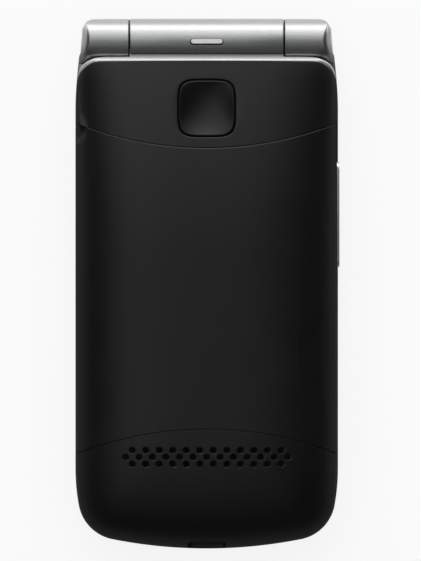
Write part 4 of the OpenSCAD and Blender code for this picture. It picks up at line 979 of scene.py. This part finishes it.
# ---------------------------------------------------------------- inner side of the lid
# Grey ABS bezel round the main display, with a slot for the earpiece. Two soft stops keep the
# halves apart when the phone is shut.

bezel = eased("inner_bezel", "inner_bezel_plate", 0.15)
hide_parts("inner_bezel")
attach(bezel, "lid")


def grey_plastic(name, base, rough=0.42):
    """Charcoal ABS with a fine grain."""
    f = Finish(name, Metallic=0.0, Specular_IOR_Level=0.45)
    fine = f.noise(0.14, 3.0, 0.6)
    patches = f.noise(8.0, 3.0)
    f.into("Base Color", f.blend(patches, tuple(0.92 * c for c in base),
                                 tuple(1.08 * c for c in base)))
    f.into("Roughness", rough + 0.08 * patches + 0.06 * fine)
    f.into("Normal", f.bump(fine, 0.008))
    return f


grey_plastic("bezel_grey", (0.016, 0.017, 0.020)).on(bezel)
screen = Finish("display_glass", Metallic=0.0, IOR=1.5, Specular_IOR_Level=0.5)
screen.into("Base Color", screen.blend(screen.between(screen.noise(16.0, 3.0), 0.35, 0.7),
                                       (0.006, 0.008, 0.011), (0.010, 0.012, 0.017)))
screen.into("Roughness", 0.05 + 0.12 * (screen.noise(20.0, 4.0, 0.6) ** 3.0))
screen.on(nodes["inner_window"])
grained("stop_rubber", ((0.018, 0.018, 0.018), (0.026, 0.026, 0.026)), 0.75, 0.3, 0.01,
        pieces=["lid_bumpers"])


def gauze(name, tone, pitch, pieces):
    """Woven metal gauze: dark holes between two sets of wires."""
    f = Finish(name, Metallic=0.6)
    at = f.place()
    wave = math.tau / (pitch * MM)
    gx, gy = (f.node("Math", {0: f.node("SeparateXYZ", {"Vector": at}, axis) * wave},
                     operation="SINE") for axis in (0, 1))
    weave = f.between(gx * gy, -0.6, 0.5)
    f.into("Base Color", f.blend(weave, (tone * 0.12,) * 3, (tone, tone, tone * 1.05)))
    f.into("Roughness", 0.35 + 0.2 * (1.0 - weave))
    f.into("Normal", f.bump(weave, 0.05))
    return f.on(*(nodes[p] for p in pieces))


# Painted shade: the loudspeaker's gauze is made near black, tone 0.03 against the earpiece's 0.20,
# so that the grille's holes read dark.
gauze("speaker_gauze_painted_shade", 0.03, 0.36, ["speaker_mesh"])
gauze("ear_gauze", 0.20, 0.30, ["earpiece_mesh"])


# ---------------------------------------------------------------- keypad
# Charcoal deck with moulded keys that stand through it on a sheet of metal domes. The number
# keys carry printed figures; the call key is green and the end key red.

deck = eased("keypad_deck", "keypad_deck_plate", 0.12, 2)
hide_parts("keypad_deck")
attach(deck, "base")
grey_plastic("deck_grey", (0.020, 0.021, 0.024)).on(deck)

KEY_FACE_Z = 9.0
FIGURE_SIZE = 6.4
FIGURE_OFF = 0.015
KEY_FACES = {"key_star": "*", "key_hash": "#", **{"key_%d" % d: str(d) for d in range(10)}}
key_grey = grey_plastic("key_grey", (0.050, 0.052, 0.058), 0.45)
ink = grained("legend_white", ((0.72, 0.73, 0.74), (0.80, 0.81, 0.82)), 0.5, 0.2, 0.002)


def legend(key, text, size, middle):
    """Printed figure just off a key's face. Its reading direction is -X, because the face looks
    down."""
    curve = bpy.data.curves.new("figure", "FONT")
    curve.body, curve.size = text, size * MM
    curve.align_x = curve.align_y = "CENTER"
    curve.fill_mode, curve.resolution_u = "FRONT", 6
    shape = bpy.data.objects.new("figure", curve)
    bpy.context.scene.collection.objects.link(shape)
    bpy.context.view_layer.update()
    mesh = bpy.data.meshes.new_from_object(shape.evaluated_get(
        bpy.context.evaluated_depsgraph_get()))
    bpy.data.objects.remove(shape)
    flat = np.zeros(len(mesh.vertices) * 3)
    mesh.vertices.foreach_get("co", flat)
    flat = flat.reshape(-1, 3) / MM
    points = np.stack([middle[0] - flat[:, 0], middle[1] + flat[:, 1],
                       np.full(len(flat), KEY_FACE_Z - FIGURE_OFF)], 1)
    faces = [list(p.vertices) for p in mesh.polygons]
    bpy.data.meshes.remove(mesh)
    piece = make_mesh(key + "_figure", points, faces)
    change(piece, "SOLIDIFY", {"thickness": 0.012 * MM, "offset": 0.0})
    ink.on(piece)
    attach(piece, key)


for key, text in KEY_FACES.items():
    cap = eased(key, key + "_cap", 0.22)
    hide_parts(key)
    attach(cap, key)
    key_grey.on(cap)
    low, high = (np.array(corner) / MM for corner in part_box(key))
    legend(key, text, FIGURE_SIZE, (low + high) / 2)

green = grained("call_green", ((0.03, 0.22, 0.07), (0.035, 0.26, 0.085)), 0.42, 0.15, 0.006)
red = grained("end_red", ((0.42, 0.022, 0.016), (0.48, 0.03, 0.02)), 0.42, 0.15, 0.006)
nav_silver = silver_paint("pad_silver", 0.42, 0.34)
for key, paint, named in (("soft_key_left", key_grey, "key_grey"),
                          ("soft_key_right", key_grey, "key_grey"),
                          ("call_key", green, "key_green"), ("end_key", red, "key_red"),
                          ("nav_pad", nav_silver, "nav_silver"), ("ok_key", key_grey, "key_grey")):
    cap = eased(key, key + "_cap", 0.2)
    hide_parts(key)
    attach(cap, key)
    paint.on(cap)


# ---------------------------------------------------------------- boards and what stands on them
# Green epoxy-glass boards with solder mask, tinned cans and sockets, gold-plated contacts, and
# the small parts that are soldered or clipped to them.

board = Finish("board_green", Metallic=0.0, Coat_Weight=0.3, Coat_Roughness=0.15)
tracks = board.between(board.cells(1.3, 0, (1, 1, 0.1)), 0.28, 0.34)
pads = board.between(board.cells(2.6, 0, (1, 1, 0.1)), 0.10, 0.07)
board.into("Base Color", board.blend(pads, board.blend(tracks, (0.006, 0.10, 0.038),
                                                       (0.010, 0.15, 0.058)),
                                     (0.62, 0.46, 0.16)))
board.into("Metallic", pads)
board.into("Roughness", 0.38 - 0.1 * tracks)
board.into("Normal", board.bump(tracks, 0.02))
board.on(nodes["main_board"], nodes["lid_board"])
grained("tinned_steel", ((0.50, 0.51, 0.52), (0.60, 0.61, 0.62)), 0.34, 0.5, 0.003, 1.0,
        ["board_shields", "sim_socket", "usb_socket", "volume_switches", "sos_switch"])
grained("contact_gold", ((0.72, 0.50, 0.20), (0.80, 0.58, 0.26)), 0.28, 0.4, 0.002, 1.0,
        ["battery_contacts", "antenna", "microphone"])
# Painted shade: the light strip's solder mask is made near black so that the gap round the lens
# shows as a dark ring.
grained("mask_black_painted_shade", ((0.005, 0.005, 0.006), (0.009, 0.009, 0.010)), 0.45, 0.3, 0.004,
        pieces=["light_board"])
grained("dome_sheet", ((0.46, 0.48, 0.50), (0.55, 0.56, 0.58)), 0.3, 0.6, 0.003, 0.9,
        ["dome_sheet"])
grained("motor_steel", ((0.45, 0.45, 0.46), (0.55, 0.55, 0.56)), 0.3, 0.3, 0.002, 1.0,
        ["vibration_motor"], stretch=(1, 1, 0.05))
grained("speaker_frame", ((0.035, 0.036, 0.04), (0.05, 0.05, 0.055)), 0.5, 0.3, 0.006,
        pieces=["loudspeaker", "earpiece"])
grained("magnet_grey", ((0.25, 0.25, 0.26), (0.33, 0.33, 0.34)), 0.3, 0.4, 0.003, 1.0,
        ["lid_magnet"])
wrap = Finish("cell_wrap", Metallic=0.0, Coat_Weight=0.25, Coat_Roughness=0.2)
creases = wrap.noise(4.0, 4.0, 0.6, (1, 0.3, 1))
wrap.into("Base Color", wrap.blend(creases, (0.055, 0.058, 0.066), (0.085, 0.088, 0.098)))
wrap.into("Roughness", 0.34 + 0.12 * creases)
wrap.into("Normal", wrap.bump(creases, 0.04))
wrap.on(nodes["battery"])


# ---------------------------------------------------------------- hinge works
# Turned steel housing, shaft and bush in the barrel, a stack of cupped disc springs that holds
# the lid open, and the rolled flat cable between the halves. The screws are blackened steel.

grained("turned_steel", ((0.52, 0.52, 0.53), (0.62, 0.62, 0.63)), 0.25, 0.25, 0.003, 1.0,
        ["hinge_housing", "hinge_shaft", "hinge_bush"], stretch=(6, 0.4, 0.4))
grained("spring_steel", ((0.40, 0.40, 0.41), (0.50, 0.49, 0.48)), 0.3, 0.3, 0.003, 1.0,
        ["disc_springs"])
grained("screw_black", ((0.05, 0.05, 0.052), (0.08, 0.08, 0.083)), 0.38, 0.3, 0.004, 1.0,
        ["case_screws"])
grained("flex_film", ((0.45, 0.20, 0.04), (0.52, 0.25, 0.06)), 0.3, 0.8, 0.004, 0.1,
        ["hinge_flex"])


# ---------------------------------------------------------------- studio
# Pale floor under the phone, a large soft window of light from beyond the hinge, weaker ones that
# fade from there to the free end, and a camera straight over the back.

FLOOR_HALF = 6000.0

floor = make_mesh("floor", FLOOR_HALF * np.array([(-1, -1, 0), (1, -1, 0), (1, 1, 0),
                                                  (-1, 1, 0)]), [(0, 1, 2, 3)])

# The camera sees white paper that keeps the shadow, and glass sees it white too. Gloss sees it
# white far off and beyond the hinge end; nearer the phone it sees the paper painted dark grey, 0.24
# in place of 0.93, a painted shade that shows only in the phone's reflections.
paper = Finish("floor_paper", Roughness=0.9, Specular_IOR_Level=0.2)
ray, glossy, clear = (paper.node("LightPath", out=which) for which in (0, 3, 6))
away = paper.node("VectorMath", {0: paper.place()}, 1, operation="LENGTH")
ahead = paper.node("SeparateXYZ", {"Vector": paper.place()}, 1)
far = paper.between(away, 1.00, 2.50)
near = (1.0 - far) * (1.0 - paper.between(ahead, 0.045, 0.060))
# Painted shade: gloss close to the phone sees the paper dark grey.
paper.into("Base Color", paper.blend(glossy * near, (0.93, 0.93, 0.93), (0.24, 0.24, 0.24)))
white = paper.node("Emission", {"Color": (1, 1, 1, 1), "Strength": 1.0})
paper.show(paper.node("MixShader", {0: 0.86 * ray + clear + glossy * (1.0 - near),
                                    1: Wire(paper, paper.shader.outputs[0]), 2: white}))
paper.on(floor)

# Dim room whose walls grow paler towards the floor; the camera sees it white
world = bpy.data.worlds.new("studio")
bpy.context.scene.world = world
world.use_nodes = True
room = Recipe(world.node_tree)
ray, glossy, clear = (room.node("LightPath", out=which) for which in (0, 3, 6))
level = room.node("SeparateXYZ", {"Vector": room.node("TexCoord", out=0)}, 2)
wall = 0.01 + 0.30 * (1.0 - room.node("MapRange", {"Value": level})) ** 4.0
room.show(room.node("MixShader", {
    0: ray + clear + glossy * wall,
    1: room.node("Background", {"Color": (0.012, 0.012, 0.012, 1), "Strength": 1.0}),
    2: room.node("Background", {"Color": (1, 1, 1, 1), "Strength": 1.0})}), "World")


def softbox(name, away, lean, sweep, wide, high, radiance, glossy=True):
    """Rectangular lamp that looks at the phone. Lean is its angle from straight up towards +Y and
    sweep its turn to +X; its power is radiance times area times pi."""
    lamp = bpy.data.lights.new(name, "AREA")
    lamp.shape, lamp.size, lamp.size_y = "RECTANGLE", wide, high
    lamp.energy = radiance * wide * high * math.pi
    box = bpy.data.objects.new(name, lamp)
    bpy.context.scene.collection.objects.link(box)
    a, b = math.radians(lean), math.radians(sweep)
    way = Vector((math.sin(b), math.sin(a) * math.cos(b), math.cos(a) * math.cos(b)))
    box.location = way * away
    box.rotation_euler = way.to_track_quat("Z", "Y").to_euler()
    box.visible_camera = False
    box.visible_glossy = glossy


softbox("window", 1.35, 73, 0, 1.5, 0.85, 2.5)
softbox("strip_left", 1.35, 81, -50, 0.8, 0.26, 2.0)
softbox("strip_right", 1.35, 81, 50, 0.8, 0.26, 2.0)
softbox("upper_window", 1.35, 43, -3, 1.3, 0.46, 1.5)
softbox("canopy", 1.35, 21, -9, 0.85, 0.50, 0.85)
softbox("canopy_middle", 1.35, 1, -9, 0.85, 0.46, 0.43)
softbox("canopy_end", 1.35, -23, -9, 0.85, 0.60, 0.10)
softbox("fill", 1.6, 0, 0, 2.4, 2.4, 1.05, False)

camera = bpy.data.objects.new("camera", bpy.data.cameras.new("camera"))
bpy.context.scene.collection.objects.link(camera)
camera.location = (0.00075, 0.00058, 3.0)
camera.rotation_euler = (0, 0, 0)
camera.data.sensor_fit = "VERTICAL"
camera.data.sensor_height = 24
camera.data.lens = 645.2
bpy.context.scene.camera = camera
bpy.context.scene.view_settings.view_transform = "Standard"
